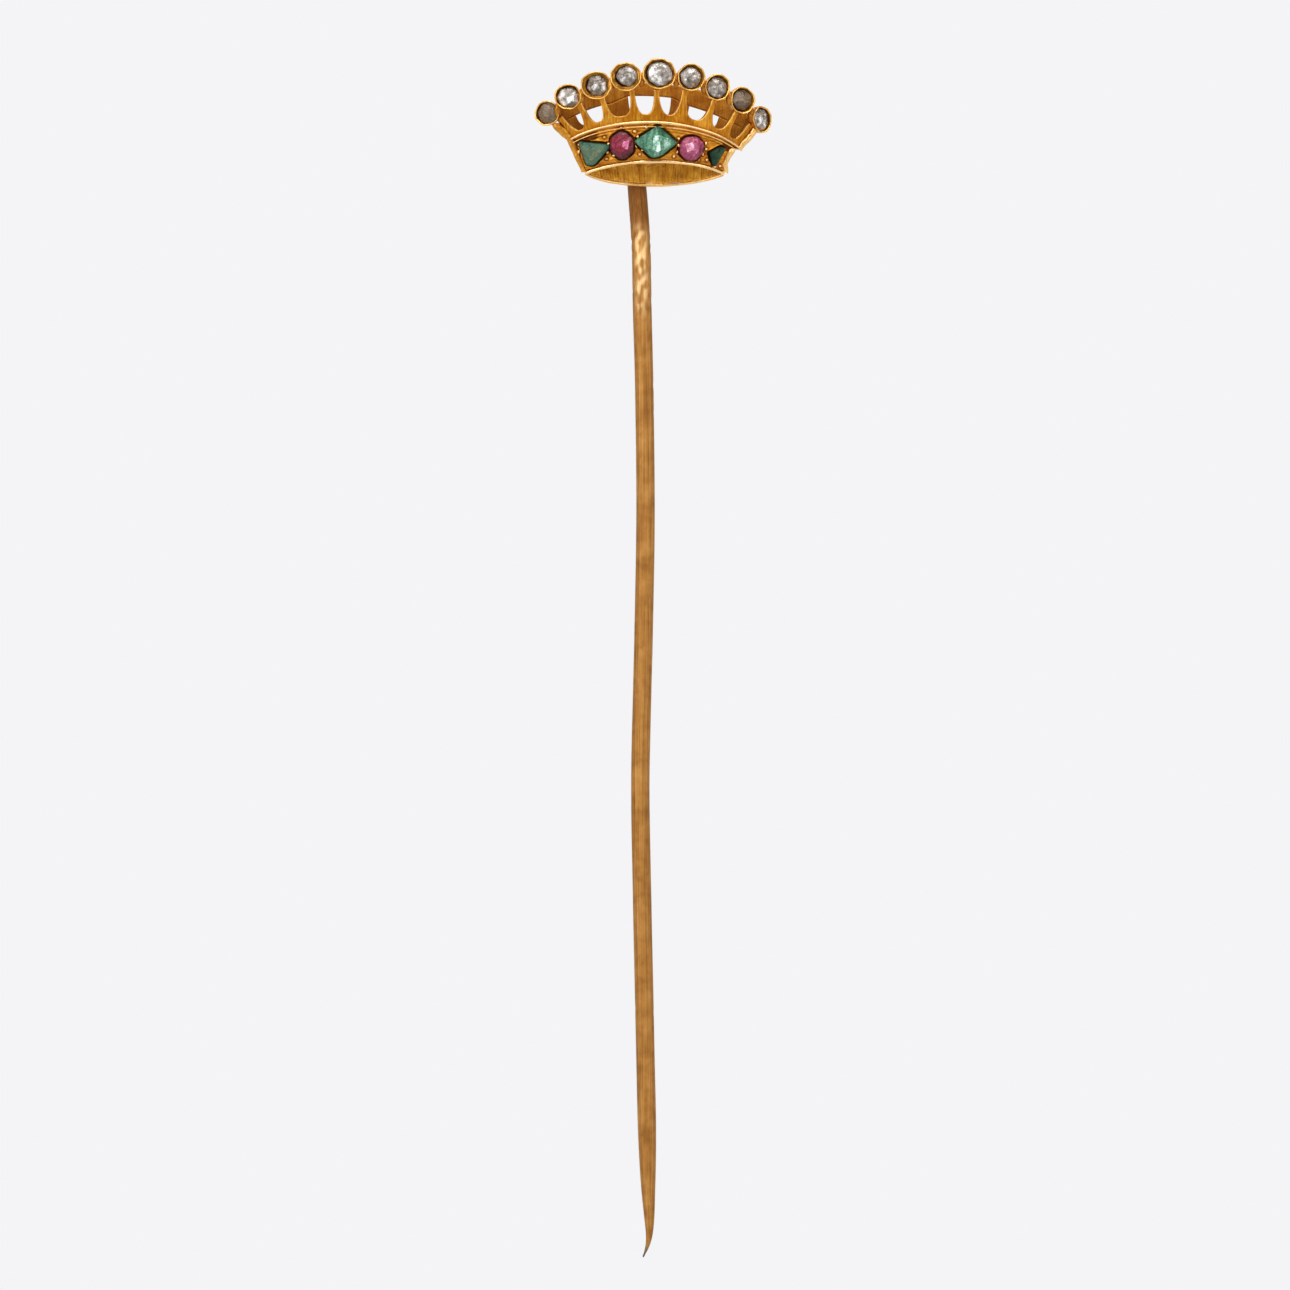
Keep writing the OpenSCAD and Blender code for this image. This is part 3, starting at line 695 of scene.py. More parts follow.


# the band's stones: outline sides as (direction, distance), facets as (direction, slope, height), and each
# facet's painted tone, for the light it reflects
bandStones = {
    "emerald_left": {
        "at": (-45, 0.44), "look": "murkyEmerald", "slot": "emerald", "seed": 1, "girdle": 0.12, "foot": 0.1,
        "power": 10, "sides": ((84, 0.53), (196, 0.62), (-44, 0.50), (5, 1.04), (265, 0.70)),
        "facets": ((90, 0.5, 0.46), (196, 0.5, 0.5), (-44, 0.6, 0.52), (0, 0.06, 0.36), (150, 0.2, 0.39),
                   (5, 0.5, 0.66), (265, 0.5, 0.56)),
        "tones": (0.3, 0.35, 0.4, 0.66, 0.55, 0.2, 0.45)},
    "ruby_left": {
        "at": (-24, 0.47), "look": "ruby", "slot": "ruby", "seed": 2, "girdle": 0.12, "foot": 0.1,
        "power": 16,
        "sides": ((0, 0.61), (48, 0.66), (90, 0.74), (130, 0.68), (180, 0.63), (228, 0.67), (270, 0.76),
                  (312, 0.67)),
        "facets": ((0, 0.75, 0.62), (60, 0.7, 0.62), (120, 0.72, 0.62), (180, 0.62, 0.58), (240, 0.72, 0.62),
                   (300, 0.7, 0.6), (10, 0.4, 0.49), (190, 0.25, 0.46), (95, 0.3, 0.5), (275, 0.3, 0.48)),
        "tones": (0.15, 0.3, 0.4, 0.3, 0.45, 0.2, 0.95, 0.5, 0.35, 0.6)},
    "emerald_middle": {
        "at": (-2.5, 0.50), "look": "emerald", "slot": "emerald", "seed": 3, "girdle": 0.1, "foot": 0.1,
        "power": 16, "sides": ((124, 0.70), (49, 0.77), (-49, 0.80), (-78, 0.79), (227, 0.76)),
        "facets": ((178, 0.62, 0.62), (-12, 0.14, 0.47), (4, 0.45, 0.53), (49, 1.1, 0.90), (-49, 1.0, 0.90),
                   (124, 0.9, 0.80), (227, 0.9, 0.84), (90, 0.35, 0.62), (275, 0.5, 0.68)),
        "tones": (0.30, 1.0, 0.62, 0.25, 0.45, 0.3, 0.36, 0.4, 0.5)},
    "ruby_right": {
        "at": (21.5, 0.44), "look": "pinkRuby", "slot": "pink_ruby", "seed": 4, "girdle": 0.12, "foot": 0.1,
        "power": 16,
        "sides": ((0, 0.70), (52, 0.64), (96, 0.62), (140, 0.67), (180, 0.68), (230, 0.68), (275, 0.69),
                  (320, 0.67)),
        "facets": ((0, 0.65, 0.58), (60, 0.7, 0.6), (120, 0.72, 0.6), (180, 0.62, 0.58), (240, 0.7, 0.6),
                   (300, 0.72, 0.6), (30, 0.25, 0.43), (150, 0.25, 0.42), (270, 0.25, 0.43), (90, 0.3, 0.46)),
        "tones": (0.3, 0.45, 0.3, 0.4, 0.3, 0.5, 0.75, 0.95, 0.6, 0.5)},
    "emerald_right": {
        "at": (42, 0.44), "look": "deepEmerald", "slot": "emerald", "seed": 5, "girdle": 0.08, "foot": 0.1,
        "power": 10, "sides": ((120, 0.35), (76, 0.50), (-27, 0.30), (265, 0.63), (205, 0.44)),
        "facets": ((120, 0.5, 0.3), (205, 0.6, 0.36), (-27, 0.6, 0.3), (0, 0.1, 0.24), (180, 0.2, 0.26)),
        "tones": (0.3, 0.5, 0.35, 0.6, 0.45)},
}
grains = {
    # angle and level of each on the band
    "spots": (
        (-35, 0.74), (-35, 0.36), (-33, 0.56), (-37, 0.20), (-31, 0.25), (-13.5, 0.64), (-15, 0.78),
        (-13, 0.2), (-15, 0.40), (-11, 0.30), (12.5, 0.63), (12.5, 0.27), (10.5, 0.15), (13, 0.45),
        (31.5, 0.66), (31.5, 0.33), (29.5, 0.14), (33, 0.5), (36, 0.2), (45, 0.10), (50, 0.16), (53, 0.5),
        (-55, 0.78), (-57, 0.6), (-8, 0.88), (-23, 0.90)),
    "radius": (0.06, 0.115), "height": 1.15, "oval": 0.16, "sunk": 0.06, "skirt": 0.05,
}
band = {
    "low": 0.06, "rows": 90, "cols": 560, "notch": 6.0, "grooves": (0.76, 0.84, 0.93), "grooveDepth": 0.04,
    "channelDepth": 0.05, "seatDepth": 0.1, "seatLip": 0.05, "ringDepth": 0.03, "cornerDepth": 0.06,
}


def notched(a, h):
    # the head's right end is nipped in between its rims: the angle falls short by up to the notch
    return a - band["notch"] * step(h, 0.0, 0.35) * step(h, 0.98, 0.86) * step(a, 44, 60)


def leanAt(a):
    # lean of the front wall: its upper edge stands further out
    up = wallAt(a, 1, front) - wallAt(a, 0, front)
    return math.atan2(float(up @ outwardAt(a, 0.5, front)), float(up[2]))


def bandAxes(a, h):
    # right, up and out directions on the band
    out = outwardAt(a, h, front)
    lean = leanAt(a)
    out = out * math.cos(lean) - np.array([0, 0, 1.0]) * math.sin(lean)
    right = np.cross(out, [0, 0, -1.0])
    right = right / np.linalg.norm(right)
    return right, np.cross(out, right), out


def makeBand():
    # a strip whose outer face is the wall less the grooves along it, a shallow channel, a seat with a raised
    # lip under each stone, a ring round each grain and a hollow in each upper corner: smooth steps and bells
    v = np.repeat(np.linspace(0, 1, band["rows"])[None], band["cols"], 0)
    h = band["low"] + (1 - band["low"]) * v
    a = np.repeat(np.linspace(-head["wallEnd"], head["wallEnd"], band["cols"])[:, None], band["rows"], 1)
    a = notched(a, h)
    body = wallAt(a, h, front)
    flat = body.reshape(-1, 3)
    lift = (0.008 * ripple(flat, 0.7, 8) + 0.005 * ripple(flat, 0.25, 9)).reshape(a.shape)
    for place in band["grooves"]:
        wander = 0.7 + 0.3 * np.sin(a * 0.4 + place * 40)
        lift = lift - band["grooveDepth"] * np.exp(-((v - place) / 0.016) ** 2) * wander
    channel = step(v, 0.1, 0.18) * step(v, 0.8, 0.7)
    lift = lift - band["channelDepth"] * channel
    seat = np.zeros(a.shape)
    for spec in bandStones.values():
        right, up = bandAxes(*spec["at"])[:2]
        offset = body - wallAt(*spec["at"], front)
        x, y = offset @ right, offset @ up
        ratio = np.hypot(x, y) / outlineReach(spec, np.arctan2(y, x))
        seat = np.maximum(seat, step(ratio, 1.16, 1.02))
        lift = lift + band["seatLip"] * np.exp(-((ratio - 1.22) / 0.08) ** 2)
    ring = np.zeros(a.shape)
    for spot in grains["spots"]:
        gap = np.linalg.norm(body - wallAt(*spot, front), axis=-1)
        ring = np.maximum(ring, np.exp(-((gap - 0.12) / 0.035) ** 2))
    corner = np.maximum(step(a, 43, 47) * step(h, 0.66, 0.74) * step(h, 0.97, 0.9),
                        step(a, -37, -42) * step(h, 0.74, 0.79) * step(h, 0.97, 0.9))
    lift = lift - band["seatDepth"] * seat - band["ringDepth"] * ring - band["cornerDepth"] * corner
    points, faces, flow = sheet(a, h, front, np.full(a.shape, head["frontHalf"]), lift)
    # paler along a line low on the strip and along its top edge; painted shade in the grooves, the seats
    # round the stones, the rings round the grains, the upper corners, low on the strip and over all the inner
    # skin, with a random darker mottle in the channel
    wear = 0.25 * np.exp(-((v - 0.12) / 0.03) ** 2) + 0.2 * step(v, 0.95, 1)
    grooves = sum(np.exp(-((v - place) / 0.018) ** 2) for place in band["grooves"])
    mottle = 0.22 * np.clip(ripple(flat, 0.35, 10), 0, 1).reshape(a.shape) * channel
    low = 0.3 * step(v, 0.2, 0.05)
    recess = np.clip(0.6 * grooves + seat + 0.7 * ring + 1.2 * corner + low + mottle, 0, 1)
    addMesh("band_strip", points, faces, gold["head"], ["front_band"],
            {"wear": np.concatenate([wear.ravel(), np.zeros(a.size)]),
             "recess": np.concatenate([recess.ravel(), np.full(a.size, 0.6)]), "flow": flow})


def makeBandStones():
    for name, spec in bandStones.items():
        spot = wallAt(*spec["at"], front, head["frontHalf"] - 0.02)
        stoneMesh(name + "_stone", spec, spot, bandAxes(*spec["at"]), stoneOf[spec["look"]],
                  [name])


def makeGrains():
    # low domes raised beside the stones, none quite round: radius = r x sin x (1 + a wave of cos 2t)
    parts = []
    t = np.linspace(0, 2 * math.pi, 20, endpoint=False)
    for a, h in grains["spots"]:
        right, up, out = bandAxes(a, h)
        r = dice.uniform(*grains["radius"])
        shape = r * (1 + grains["oval"] * np.cos(2 * t + dice.uniform(0, 6)))
        spot = wallAt(a, h, front, head["frontHalf"] - grains["sunk"])
        circle = (shape * np.cos(t))[:, None] * right + (shape * np.sin(t))[:, None] * up
        rings = [spot + math.sin(f) * circle + r * grains["height"] * math.cos(f) * out
                 for f in np.linspace(0.05, math.pi / 2, 9)]
        rings.append(rings[-1] - grains["skirt"] * out)
        parts.append(lathe(np.array(rings)))
    points, faces = join(parts)
    addMesh("grains_raised", points, faces, gold["rim"], ["band_grains"],
            {"wear": np.full(len(points), 0.7), "recess": np.zeros(len(points))})


makeBand()
makeBandStones()
makeGrains()
print("stage: band and stones")


# rims and end posts: wires carried along the walls
rims = {
    "lowerRadius": 0.09, "upperRadius": 0.075, "secondRadius": 0.04, "secondLevel": 0.89,
    "liningRadius": 0.045, "liningSteps": 90, "steps": 260, "sides": 20,
}


def wireAlong(path, right, up, radius, seed, closed=False, sides=rims["sides"], swell=0.1):
    # a wire of uneven thickness: point = path + r x (cos x right + sin x up), with r waved by soft noise
    t = np.linspace(0, 2 * math.pi, sides, endpoint=False)
    r = radius * (1 + swell * ripple(path, 0.9, seed) + 0.5 * swell * ripple(path, 0.3, seed + 1))
    circle = np.cos(t)[None, :, None] * right[:, None] + np.sin(t)[None, :, None] * up[:, None]
    rings = path[:, None] + r[:, None, None] * circle
    if closed:
        return rings.reshape(-1, 3), [gridFaces(len(path), sides, closeRows=True, closeCols=True)]
    return lathe(rings)


def upright(count):
    return np.repeat([[0, 0, 1.0]], count, 0)


def makeUpperRim():
    # a wire along the wall at level 1, and a thinner one under it that follows the nipped end
    a = np.linspace(-head["wallEnd"] - 1.5, head["fan"] + 1.0, rims["steps"])
    right, up = outwardAt(a, 1, front), upright(len(a))
    path = wallAt(a, 1, front, head["frontHalf"] + 0.6 * rims["upperRadius"])
    main = wireAlong(path, right, up, rims["upperRadius"], 70, swell=0.06)
    h = rims["secondLevel"]
    path = wallAt(notched(a, h), h, front, head["frontHalf"] + 0.005)
    second = wireAlong(path, right, up, rims["secondRadius"], 74, swell=0.2)
    points, faces = join([main, second])
    # painted highlight: both wires are paler all round, the main one much more than the thin one
    wear = np.concatenate([np.full(len(main[0]), 0.85), np.full(len(second[0]), 0.35)])
    addMesh("upper_rim_wires", points, faces, gold["rim"], ["upper_rim"],
            {"wear": wear, "recess": wear * 0})


def makeLowerRim():
    # one closed wire at level 0, front left to right, then back right to left; a thinner wire lines the
    # front's left end
    steps, count = rims["steps"], rims["liningSteps"]
    b = np.linspace(-58.5, 58.5, steps)
    path = np.vstack([wallAt(b, 0, front), wallAt(b[::-1], 0, back)])
    out = np.vstack([outwardAt(b, 0, front), outwardAt(b[::-1], 0, back)])
    ring = wireAlong(path, out, upright(len(path)), rims["lowerRadius"], 80, closed=True, swell=0.06)
    c = np.linspace(-57, -20, count)
    rise = step(c, -30, -20)
    path = wallAt(c, -0.05 + 0.05 * rise, front, -0.16 + 0.1 * rise)
    lining = wireAlong(path, outwardAt(c, 0, front), upright(count), rims["liningRadius"], 84, swell=0.12)
    points, faces = join([ring, lining])
    # painted highlight: the front half of the ring is much paler than its back half, and the lining between
    # the two
    wear = np.r_[np.full(steps, 0.9), np.full(steps, 0.4), np.full(count, 0.5)]
    wear = np.append(np.repeat(wear, rims["sides"]), [0.3, 0.3])
    addMesh("lower_rim_ring", points, faces, gold["rim"], ["lower_rim"],
            {"wear": wear, "recess": wear * 0})


endPosts = {
    "foot": 0.03, "topGaps": (-0.03, 0.05), "sides": 28, "rings": 60,
    "leftSwell": 0.45, "leftDepth": 0.62,          # the left one is broader beside the gallery, and shallower
}


def makeEndPost(k, name):
    # a post up the head's left (0) or right (1) end, wider towards its collet: a wire whose radius is the gap
    # from the wall's end to the head's end
    count = endPosts["rings"]
    end = head["fan"] * (1 if k else -1)
    top = postLevel(-k) + endPosts["topGaps"][k]
    h = np.linspace(endPosts["foot"], top, count)
    a = np.full(count, end)
    path = wallAt(notched(a, h) if k else a, h, front)
    size = np.linalg.norm(wallAt(a, h, front) - wallAt(a * head["wallEnd"] / head["fan"], h, front), axis=1)
    across = np.repeat(outwardAt(0, 1, front)[None], count, 0)
    sideways = wallAt(1, 1, front) - wallAt(-1, 1, front)
    sideways = np.repeat([sideways / np.linalg.norm(sideways) * (1, 1, 0)], count, 0)
    if not k:
        size = size * (1 + endPosts["leftSwell"] * step(h, 1.0, 1.15) * step(h, top, top - 0.25))
        across = across * endPosts["leftDepth"]
    points, faces = wireAlong(path, sideways, across, size, 90 + k, sides=endPosts["sides"], swell=0.06)
    wear = np.full(len(points), 0.45 if k else 0.18)
    addMesh(name + "_bar", points, faces, gold["rim" if k else "gallery"], [name],
            {"wear": wear, "recess": wear * 0, "flow": points})


makeUpperRim()
makeLowerRim()
makeEndPost(0, "end_post_left")
makeEndPost(1, "end_post_right")
print("stage: rims and end posts")


# back: a filed plate with three openings, and the rail above them
backPlate = {
    "windows": ((-44, -24), (-11, 10.5), (20, 37)), "sill": 1.24, "corner": 3.6, "edgeRadius": 0.05,
    "low": 0.035, "rail": ((0, 1.74), (11, 1.74), (20, 1.63), (43, 1.55), (60, 1.55)),
}


def railLevel(a):
    return np.interp(np.abs(a), *zip(*backPlate["rail"]))


def backEdge():
    # the plate's top edge from left to right: along under the rail, then down and up round each opening
    start, end = -head["wallEnd"], head["wallEnd"]
    angles, levels = [], []
    for a0, a1 in backPlate["windows"]:
        under = np.linspace(start, a0, 24)[1 if angles else 0:-1]
        a, h = uEdge(a0, a1, backPlate["sill"], (railLevel(a0), railLevel(a1)), backPlate["corner"], 50)
        angles += [under, a]
        levels += [railLevel(under), h]
        start = a1
    under = np.linspace(start, end, 34)[1:]
    return np.concatenate(angles + [under]), np.concatenate(levels + [railLevel(under)])


def makeBack():
    # columns rise from the lower rim to the plate's top edge; the outer skin has soft dents, and the inner
    # one file strokes: uneven sine ridges down it that fade towards the top
    topA, topH = backEdge()
    v = np.linspace(0, 1, 60)
    low = backPlate["low"]
    h = low + (topH[:, None] - low) * v
    a = notched(np.repeat(topA[:, None], len(v), 1), h)
    body = wallAt(a, h, back)
    cut = topH < railLevel(topA) - 0.002           # the part of the edge that is an opening's
    distance = nearest(body, wallAt(topA, topH, back)[cut])
    half = rounded(distance, head["backHalf"], backPlate["edgeRadius"])
    flat = body.reshape(-1, 3)
    dent = (0.012 * ripple(flat, 1.1, 12) + 0.006 * ripple(flat, 0.4, 13)).reshape(a.shape)
    along = np.radians(a) * 4.6
    strokes = (np.sin(along * 34 + 3 * np.sin(along * 5) + 1.5 * np.sin(h * 6))
               + 0.7 * np.sin(along * 61 + 4 * np.sin(along * 3.1)))
    points, faces, flow = sheet(a, h, back, half, dent, dent + 0.012 * strokes * step(h, 1.1, 0.8))
    # painted highlights along the openings' edges
    wear = np.exp(-(distance / 0.05) ** 2).ravel()
    # a ragged row of painted shadow across the middle of the inner face
    row = np.exp(-((h - 0.37) / 0.035) ** 2) * step(np.abs(a), 16, 9)
    marks = row * np.clip(0.4 + ripple(flat, 0.3, 15), 0, 1).reshape(a.shape)
    # painted shade over the inner face's upper part and in that row; painted highlights on one side of each
    # file stroke low down; the outer skin a little darker throughout
    shade = np.clip(0.75 * step(h, 0.75, 1.15) + 0.85 * marks, 0, 1).ravel()
    bright = (0.3 * step(h, 0.8, 0.3) * (0.5 + 0.5 * np.sign(strokes))).ravel()
    addMesh("back_plate_filed", points, faces, gold["inner"], ["back_wall"],
            {"wear": np.concatenate([wear * 0.5, np.clip(wear * 0.6 + bright, 0, 1)]),
             "recess": np.concatenate([np.full(len(wear), 0.1), shade]), "flow": flow})


def makeRail():
    # a strip from the plate's rail level up to the collets, with both its long edges rounded
    end, rows = head["wallEnd"], 22
    a = np.repeat(np.linspace(-end, end, 300)[:, None], rows, 1)
    v = np.repeat(np.linspace(0, 1, rows)[None], len(a), 0)
    top = np.interp(np.abs(a), [0, end - 9, end], [2, 2, postLevel(-1)])
    h = railLevel(a) + (top - railLevel(a)) * v
    body = wallAt(a, h, back).reshape(-1, 3)
    dent = (0.014 * ripple(body, 0.9, 14)).reshape(a.shape)
    half = rounded(np.minimum(v, 1 - v), head["backHalf"], backPlate["edgeRadius"])
    points, faces, flow = sheet(a, h, back, half, dent, dent)
    # painted highlight along the top edge, and painted shade over all the inner skin; the outer skin a little
    # darker throughout
    wear = 0.7 * np.exp(-((1 - v.ravel()) / 0.06) ** 2)
    addMesh("back_rail_strip", points, faces, gold["inner"], ["back_rail"],
            {"wear": np.concatenate([wear, wear]), "recess": np.repeat([0.1, 0.7], a.size), "flow": flow})


makeBack()
makeRail()
print("stage: back")


# stem: one wire from its weld on the back, down through its waves to the hooked point
stem = {
    "radius": 0.488, "grip": 12.0, "lean": 1.2, "taper": 8.0, "point": 0.05, "hook": 0.36, "neck": 3.2,
    "neckSide": -0.18, "jointAngle": -8.5, "jointLevels": (0.12, 1.08), "sides": 96, "step": 0.09,
    "waves": ((0.17, -0.21), (0.39, -0.04), (0.57, 0.065), (0.76, 0.01), (0.9, -0.11)),
    # drawn lines down its length: direction round it in degrees (270 faces front), width and depth
    "lines": ((289, 3.0, 0.020), (247, 2.0, 0.010), (262, 1.6, 0.008), (301, 2.2, 0.012), (228, 2.5, 0.012),
              (318, 3.0, 0.014), (276, 1.5, 0.006), (20, 3.0, 0.015), (60, 2.5, 0.012), (95, 2.5, 0.014),
              (140, 3.0, 0.012), (185, 2.5, 0.014)),
    "dents": 46, "dentSpan": (-8, 43), "dentSize": (0.05, 0.16), "dentDepth": (0.006, 0.022),
}


def stemRoute():
    # the points that the wire passes, from the weld down to the hook, and the grip's direction
    lean = math.radians(stem["lean"])
    grip = np.array([-math.sin(lean), 0, math.cos(lean)])
    neckZ = head["z"] + head["backArches"][0] - stem["neck"]
    low = stem["grip"] / 2 * math.cos(lean)
    away = head["backHalf"] + stem["radius"]
    weld = [wallAt(stem["jointAngle"], h, back, away) for h in stem["jointLevels"]]
    route = [weld[1], weld[0], np.array([stem["neckSide"], 0, neckZ])]
    route += [np.array([x, 0, low + t * (neckZ - low)]) for t, x in stem["waves"][::-1]]
    route += [k * stem["grip"] * grip for k in (0.5, 0, -0.5)]
    route += [-(stem["grip"] / 2 + k * stem["taper"]) * grip for k in (0.5, 0.85)]
    route.append(-(stem["grip"] / 2 + stem["taper"]) * grip - np.array([stem["hook"], 0, 0]))
    return np.array(route), grip


def spline(points, gap):
    # a smooth curve through points: Catmull-Rom pieces cut into steps of about gap
    p = np.vstack([points[:1], points, points[-1:]])
    line = []
    for i in range(1, len(p) - 2):
        n = max(2, int(np.linalg.norm(p[i + 1] - p[i]) / gap))
        t = np.linspace(0, 1, n, endpoint=False)[:, None]
        a, b, c, d = p[i - 1:i + 3]
        line.append(0.5 * (2 * b + (c - a) * t + (2 * a - 5 * b + 4 * c - d) * t ** 2
                           + (3 * b - a - 3 * c + d) * t ** 3))
    return np.vstack(line + [p[-1:]])


def stemRadius(line, grip):
    # full thickness, then a taper that ends blunt: r x (1 - t ^ 1.8) ^ 0.75, closed by a dome at each end
    t = np.clip((-(line @ grip) - stem["grip"] / 2) / stem["taper"], 0, 1)
    radius = np.maximum(stem["point"], stem["radius"] * (1 - t ** 1.8) ** 0.75)
    run = np.r_[0, np.cumsum(np.linalg.norm(np.diff(line, axis=0), axis=1))]
    dome = np.clip(run / stem["radius"], 0.02, 1)
    return radius * np.sqrt(1 - (1 - dome) ** 2) * np.sqrt(np.clip((run[-1] - run) / 0.08, 0.03, 1))


def stemLines(angle, rise, worked):
    # how deep the drawn lines go, and how much painted shade each lays along its groove; each wanders a
    # little, and fades in and out along the wire
    depths, lineShade = np.zeros(len(angle)), np.zeros(len(angle))
    for place, width, depth in stem["lines"]:
        wander = 2.5 * np.sin(rise * 0.31 + place) + 1.2 * np.sin(rise * 0.9 + 2 * place)
        gap = (np.degrees(angle) - place - wander + 180) % 360 - 180
        groove = np.exp(-(gap / width) ** 2) * (0.6 + 0.4 * np.sin(rise * 0.47 + 3 * place))
        depths = depths + depth * groove * (1 - worked)
        lineShade = np.maximum(lineShade, groove * depth / 0.02)
    return depths, lineShade


def stemDents(angle, rise):
    # small dents at random places, each a bell over the distance from its middle
    n = stem["dents"]
    spots = [dice.uniform(*span, n) for span in (
        (0, 2 * math.pi), stem["dentSpan"], stem["dentSize"], stem["dentDepth"])]
    depths = np.zeros(len(angle))
    for place, z, size, depth in zip(*spots):
        gap = np.abs((angle - place + math.pi) % (2 * math.pi) - math.pi) * stem["radius"]
        depths = depths + depth * np.exp(-(gap ** 2 + ((rise - z) * 0.7) ** 2) / size ** 2)
    return depths


def makeStem():
    # rings of radius r square to a smooth line; the skin swells by soft noise where the wire was worked under
    # the head, less the dents and the drawn lines
    route, grip = stemRoute()
    line = spline(route, stem["step"])
    down = np.gradient(line, axis=0)
    down /= np.linalg.norm(down, axis=1, keepdims=True)
    across = np.cross(down, [0, 1.0, 0])
    across /= np.linalg.norm(across, axis=1, keepdims=True)
    deep = np.cross(across, down)
    radius = stemRadius(line, grip)
    f = np.linspace(0, 2 * math.pi, stem["sides"], endpoint=False)
    circle = np.cos(f)[None, :, None] * across[:, None] + np.sin(f)[None, :, None] * deep[:, None]
    flat = (line[:, None] + radius[:, None, None] * circle).reshape(-1, 3)
    angle, rise = np.tile(f, len(line)), flat[:, 2]
    worked = step(rise, 36.5, 38.5) * step(rise, 42.6, 41.4)
    depths, lineShade = stemLines(angle, rise, worked)
    swell = 0.004 * ripple(flat * (1, 1, 0.12), 0.6, 30) + 0.018 * worked * ripple(flat, 0.5, 31)
    swell = swell - stemDents(angle, rise) - depths
    away = flat - np.repeat(line, stem["sides"], 0)
    away /= np.maximum(np.linalg.norm(away, axis=1, keepdims=True), 1e-6)
    fade = np.repeat(step(radius, 0.1, 0.3), stem["sides"])
    room = 0.02 + 0.01 * step(rise, 34, 39)      # it is a little stouter under the head
    skin = flat + away * (np.minimum(swell + room, room) * fade)[:, None]
    points, faces = lathe(skin.reshape(len(line), stem["sides"], 3))
    steel = np.repeat(step(line[:, 2], -13.1, -13.9), stem["sides"])
    # painted shade on the neck just under the head
    shade = np.repeat(0.55 * step(line[:, 2], 40.6, 42.6), stem["sides"])
    # painted highlights: mottled bright spots on the front of the worked part, and thin pale lines down both
    # sides
    facing = np.clip(np.cos(angle - math.radians(268)), 0, 1) ** 4
    pale = worked * facing * np.clip(0.45 + 0.9 * ripple(flat * (1, 1, 0.5), 0.35, 32), 0, 1)
    edge = 0.3 * np.clip(np.abs(np.cos(angle)), 0, 1) ** 24
    # the drawn lines are darkened with painted shade, except on the worked part
    addMesh("stem_wire", points, faces, gold["stem"], ["stem"],
            {"wear": np.append(np.clip(pale + edge, 0, 1), [0, 0]),
             "recess": np.append(np.clip(shade + 0.6 * lineShade * (1 - worked), 0, 1), [0, 0]),
             "tip": np.append(steel, [0, 1])})


solder = {
    "rings": 40, "past": (0.05, 0.06), "sunk": 0.02, "inner": 0.38, "start": 0.42, "reach": 0.42, "rise": 0.5,
}


def makeSolder():
    # a hollow fillet on each side of the stem, tapering out at both ends: its section is a corner with a
    # curved third side, and its size falls as the root of a sine
    count = solder["rings"]
    low, high = stem["jointLevels"]
    h = np.linspace(low - solder["past"][0], high + solder["past"][1], count)
    a = np.full(count, stem["jointAngle"])
    base, out = wallAt(a, h, back, head["backHalf"] - solder["sunk"]), outwardAt(a, h, back)
    section = [(solder["inner"], 0.0)]
    for x in np.linspace(0, math.pi / 2, 9):
        across = solder["start"] + solder["reach"] * (1 - math.sin(x))
        section.append((across, solder["rise"] * (1 - math.cos(x))))
    parts = []
    for way in (-1, 1):
        side = way * np.cross(out, [0, 0, 1.0])
        size = np.sin(np.linspace(0.12, math.pi - 0.12, count)) ** 0.5
        size = size * (1 + 0.12 * ripple(base, 0.8, 50 + way))
        rings = [base + (size * u)[:, None] * side + (size * w)[:, None] * out for u, w in section]
        parts.append(lathe(np.stack(rings, 1)))
    points, faces = join(parts)
    # painted shade: the fillets are darkened throughout, in the joint under the head
    addMesh("stem_solder_fillets", points, faces, gold["inner"], ["stem_solder"],
            {"wear": np.full(len(points), 0.1), "recess": np.full(len(points), 0.35), "flow": points})


makeStem()
makeSolder()
print("stage: stem")


# stage: floor, lights and camera
studio = {
    "backdrop": 0.905, "fill": 0.30, "floorSize": 2.0, "floorGap": 0.0004, "cameraAway": 0.9, "view": 69.93,
    "middle": (0.04, 19.24), "focusDepth": -1.0, "lightsAim": (0, 0, 0.03),
    # place, size and power of each soft box
    "boxes": {
        "topBox": ((0.05, -0.14, 0.42), (0.35, 0.3), 1.6), "leftBox": ((-0.32, -0.3, 0.16), (0.3, 0.4), 1.0),
        "rightBox": ((0.34, -0.26, 0.1), (0.25, 0.4), 0.6), "backBox": ((0.0, 0.4, 0.2), (0.4, 0.4), 0.6),
        "frontBox": ((-0.08, -0.6, 0.34), (0.4, 0.3), 0.7)},
}


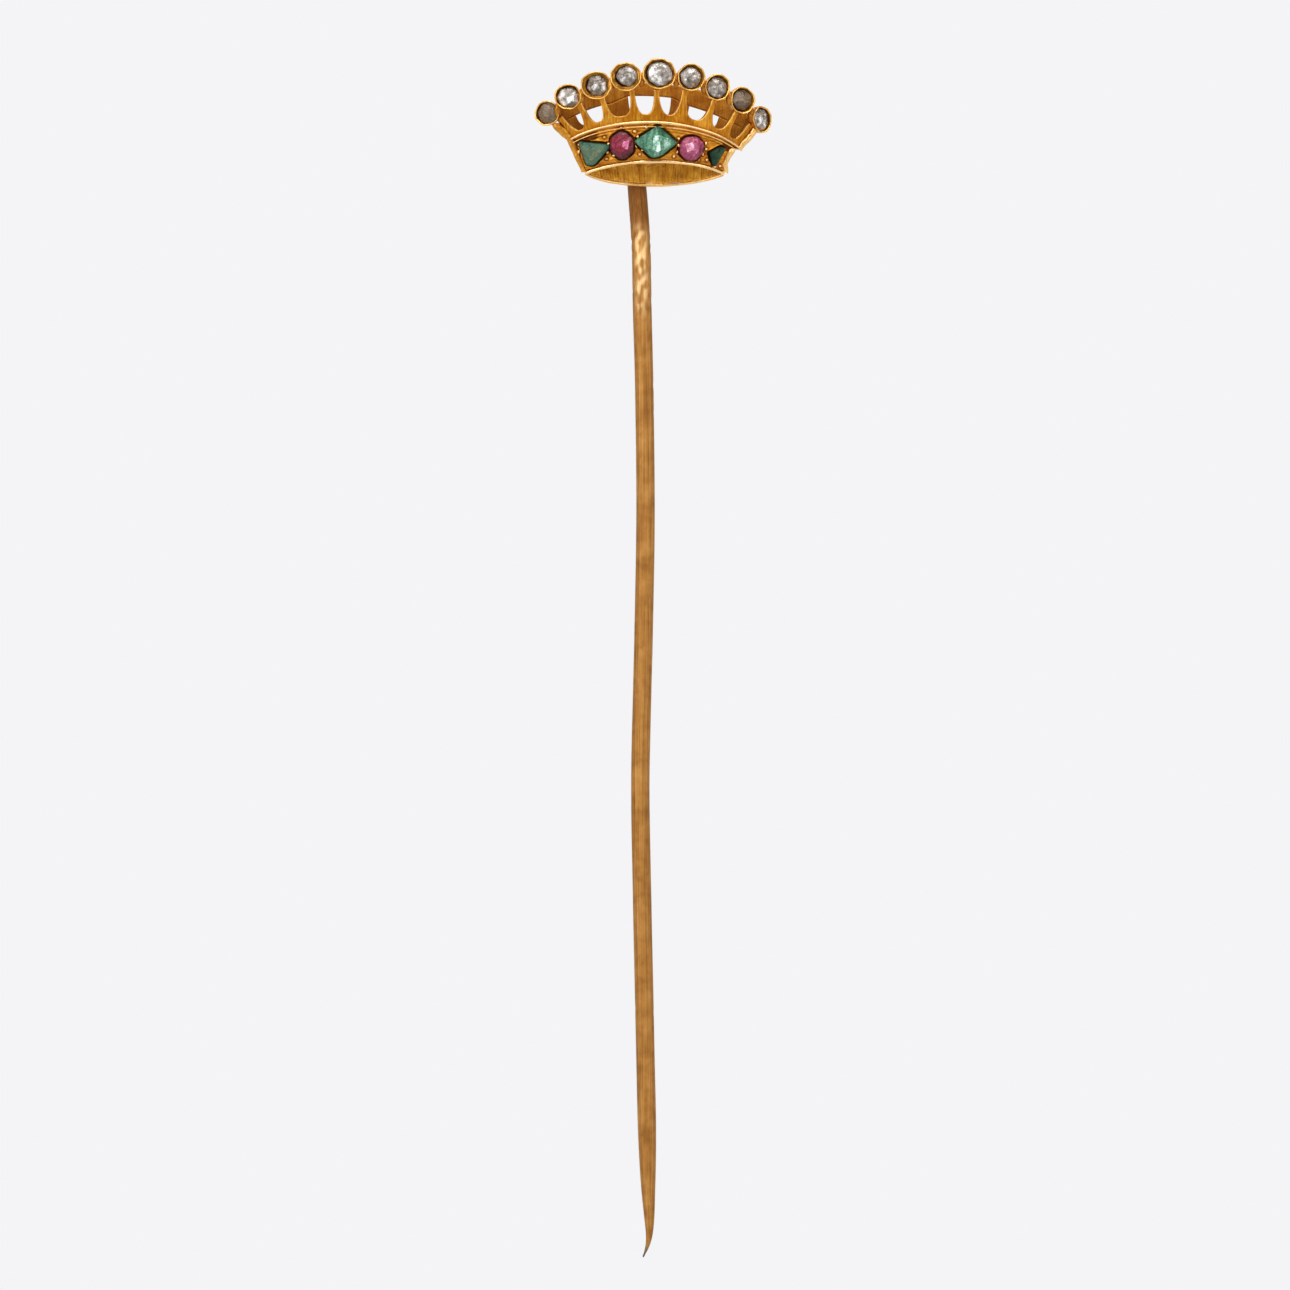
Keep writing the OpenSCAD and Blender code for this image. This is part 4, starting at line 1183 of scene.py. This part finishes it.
def makeFloor():
    # a pale floor under the point, lit evenly so that it meets the backdrop without a line
    size = studio["floorSize"]
    z = cadBox[0].z - studio["floorGap"]
    mesh = bpy.data.meshes.new("floor")
    corners = [(-size, -size, z), (size, -size, z), (size, size, z), (-size, size, z)]
    mesh.from_pydata(corners, [], [(0, 1, 2, 3)])
    material, tree = newMaterial("paleFloor")
    grey = studio["backdrop"]
    glow = addNode(tree, "ShaderNodeEmission", {}, {"Color": (grey, grey, grey * 1.02, 1), "Strength": 1.0})
    addNode(tree, "ShaderNodeOutputMaterial", {}, {0: glow})
    mesh.materials.append(material)
    floor = bpy.data.objects.new("floor", mesh)
    bpy.context.scene.collection.objects.link(floor)


def makeWorld():
    # the camera sees the pale backdrop, and the metal a darker fill
    world = bpy.data.worlds.new("studio")
    bpy.context.scene.world = world
    world.use_nodes = True
    tree = world.node_tree
    tree.nodes.clear()
    grey = studio["backdrop"]
    seen = addNode(tree, "ShaderNodeLightPath", {}, {}, 0)
    fill = studio["fill"]
    colour = blendColour(tree, seen, (fill, fill * 0.98, fill * 0.96), (grey, grey, grey * 1.02))
    sky = addNode(tree, "ShaderNodeBackground", {}, {"Color": colour, "Strength": 1.0})
    addNode(tree, "ShaderNodeOutputWorld", {}, {0: sky})


def addLight(name, place, size, power):
    lamp = bpy.data.lights.new(name, "AREA")
    lamp.shape, lamp.size, lamp.size_y = "RECTANGLE", size[0], size[1]
    lamp.energy = power
    holder = bpy.data.objects.new(name, lamp)
    holder.location = place
    holder.rotation_euler = (Vector(studio["lightsAim"]) - Vector(place)).to_track_quat("-Z", "Y").to_euler()
    bpy.context.scene.collection.objects.link(holder)


def makeCamera():
    # a long lens, so that the head is seen level: focal length = sensor x distance / width of view
    data = bpy.data.cameras.new("camera")
    data.sensor_width = 36.0
    away = studio["cameraAway"]
    data.lens = data.sensor_width * away / (studio["view"] * mm)
    data.clip_start, data.clip_end = 0.01, 20
    camera = bpy.data.objects.new("camera", data)
    x, z = studio["middle"]
    camera.location = (x * mm, studio["focusDepth"] * mm - away, z * mm)
    camera.rotation_euler = (math.radians(90), 0, 0)
    bpy.context.scene.collection.objects.link(camera)
    bpy.context.scene.camera = camera


makeFloor()
makeWorld()
for name, box in studio["boxes"].items():
    addLight(name, *box)
makeCamera()
bpy.context.scene.view_settings.view_transform = "Standard"
print("stage: studio")
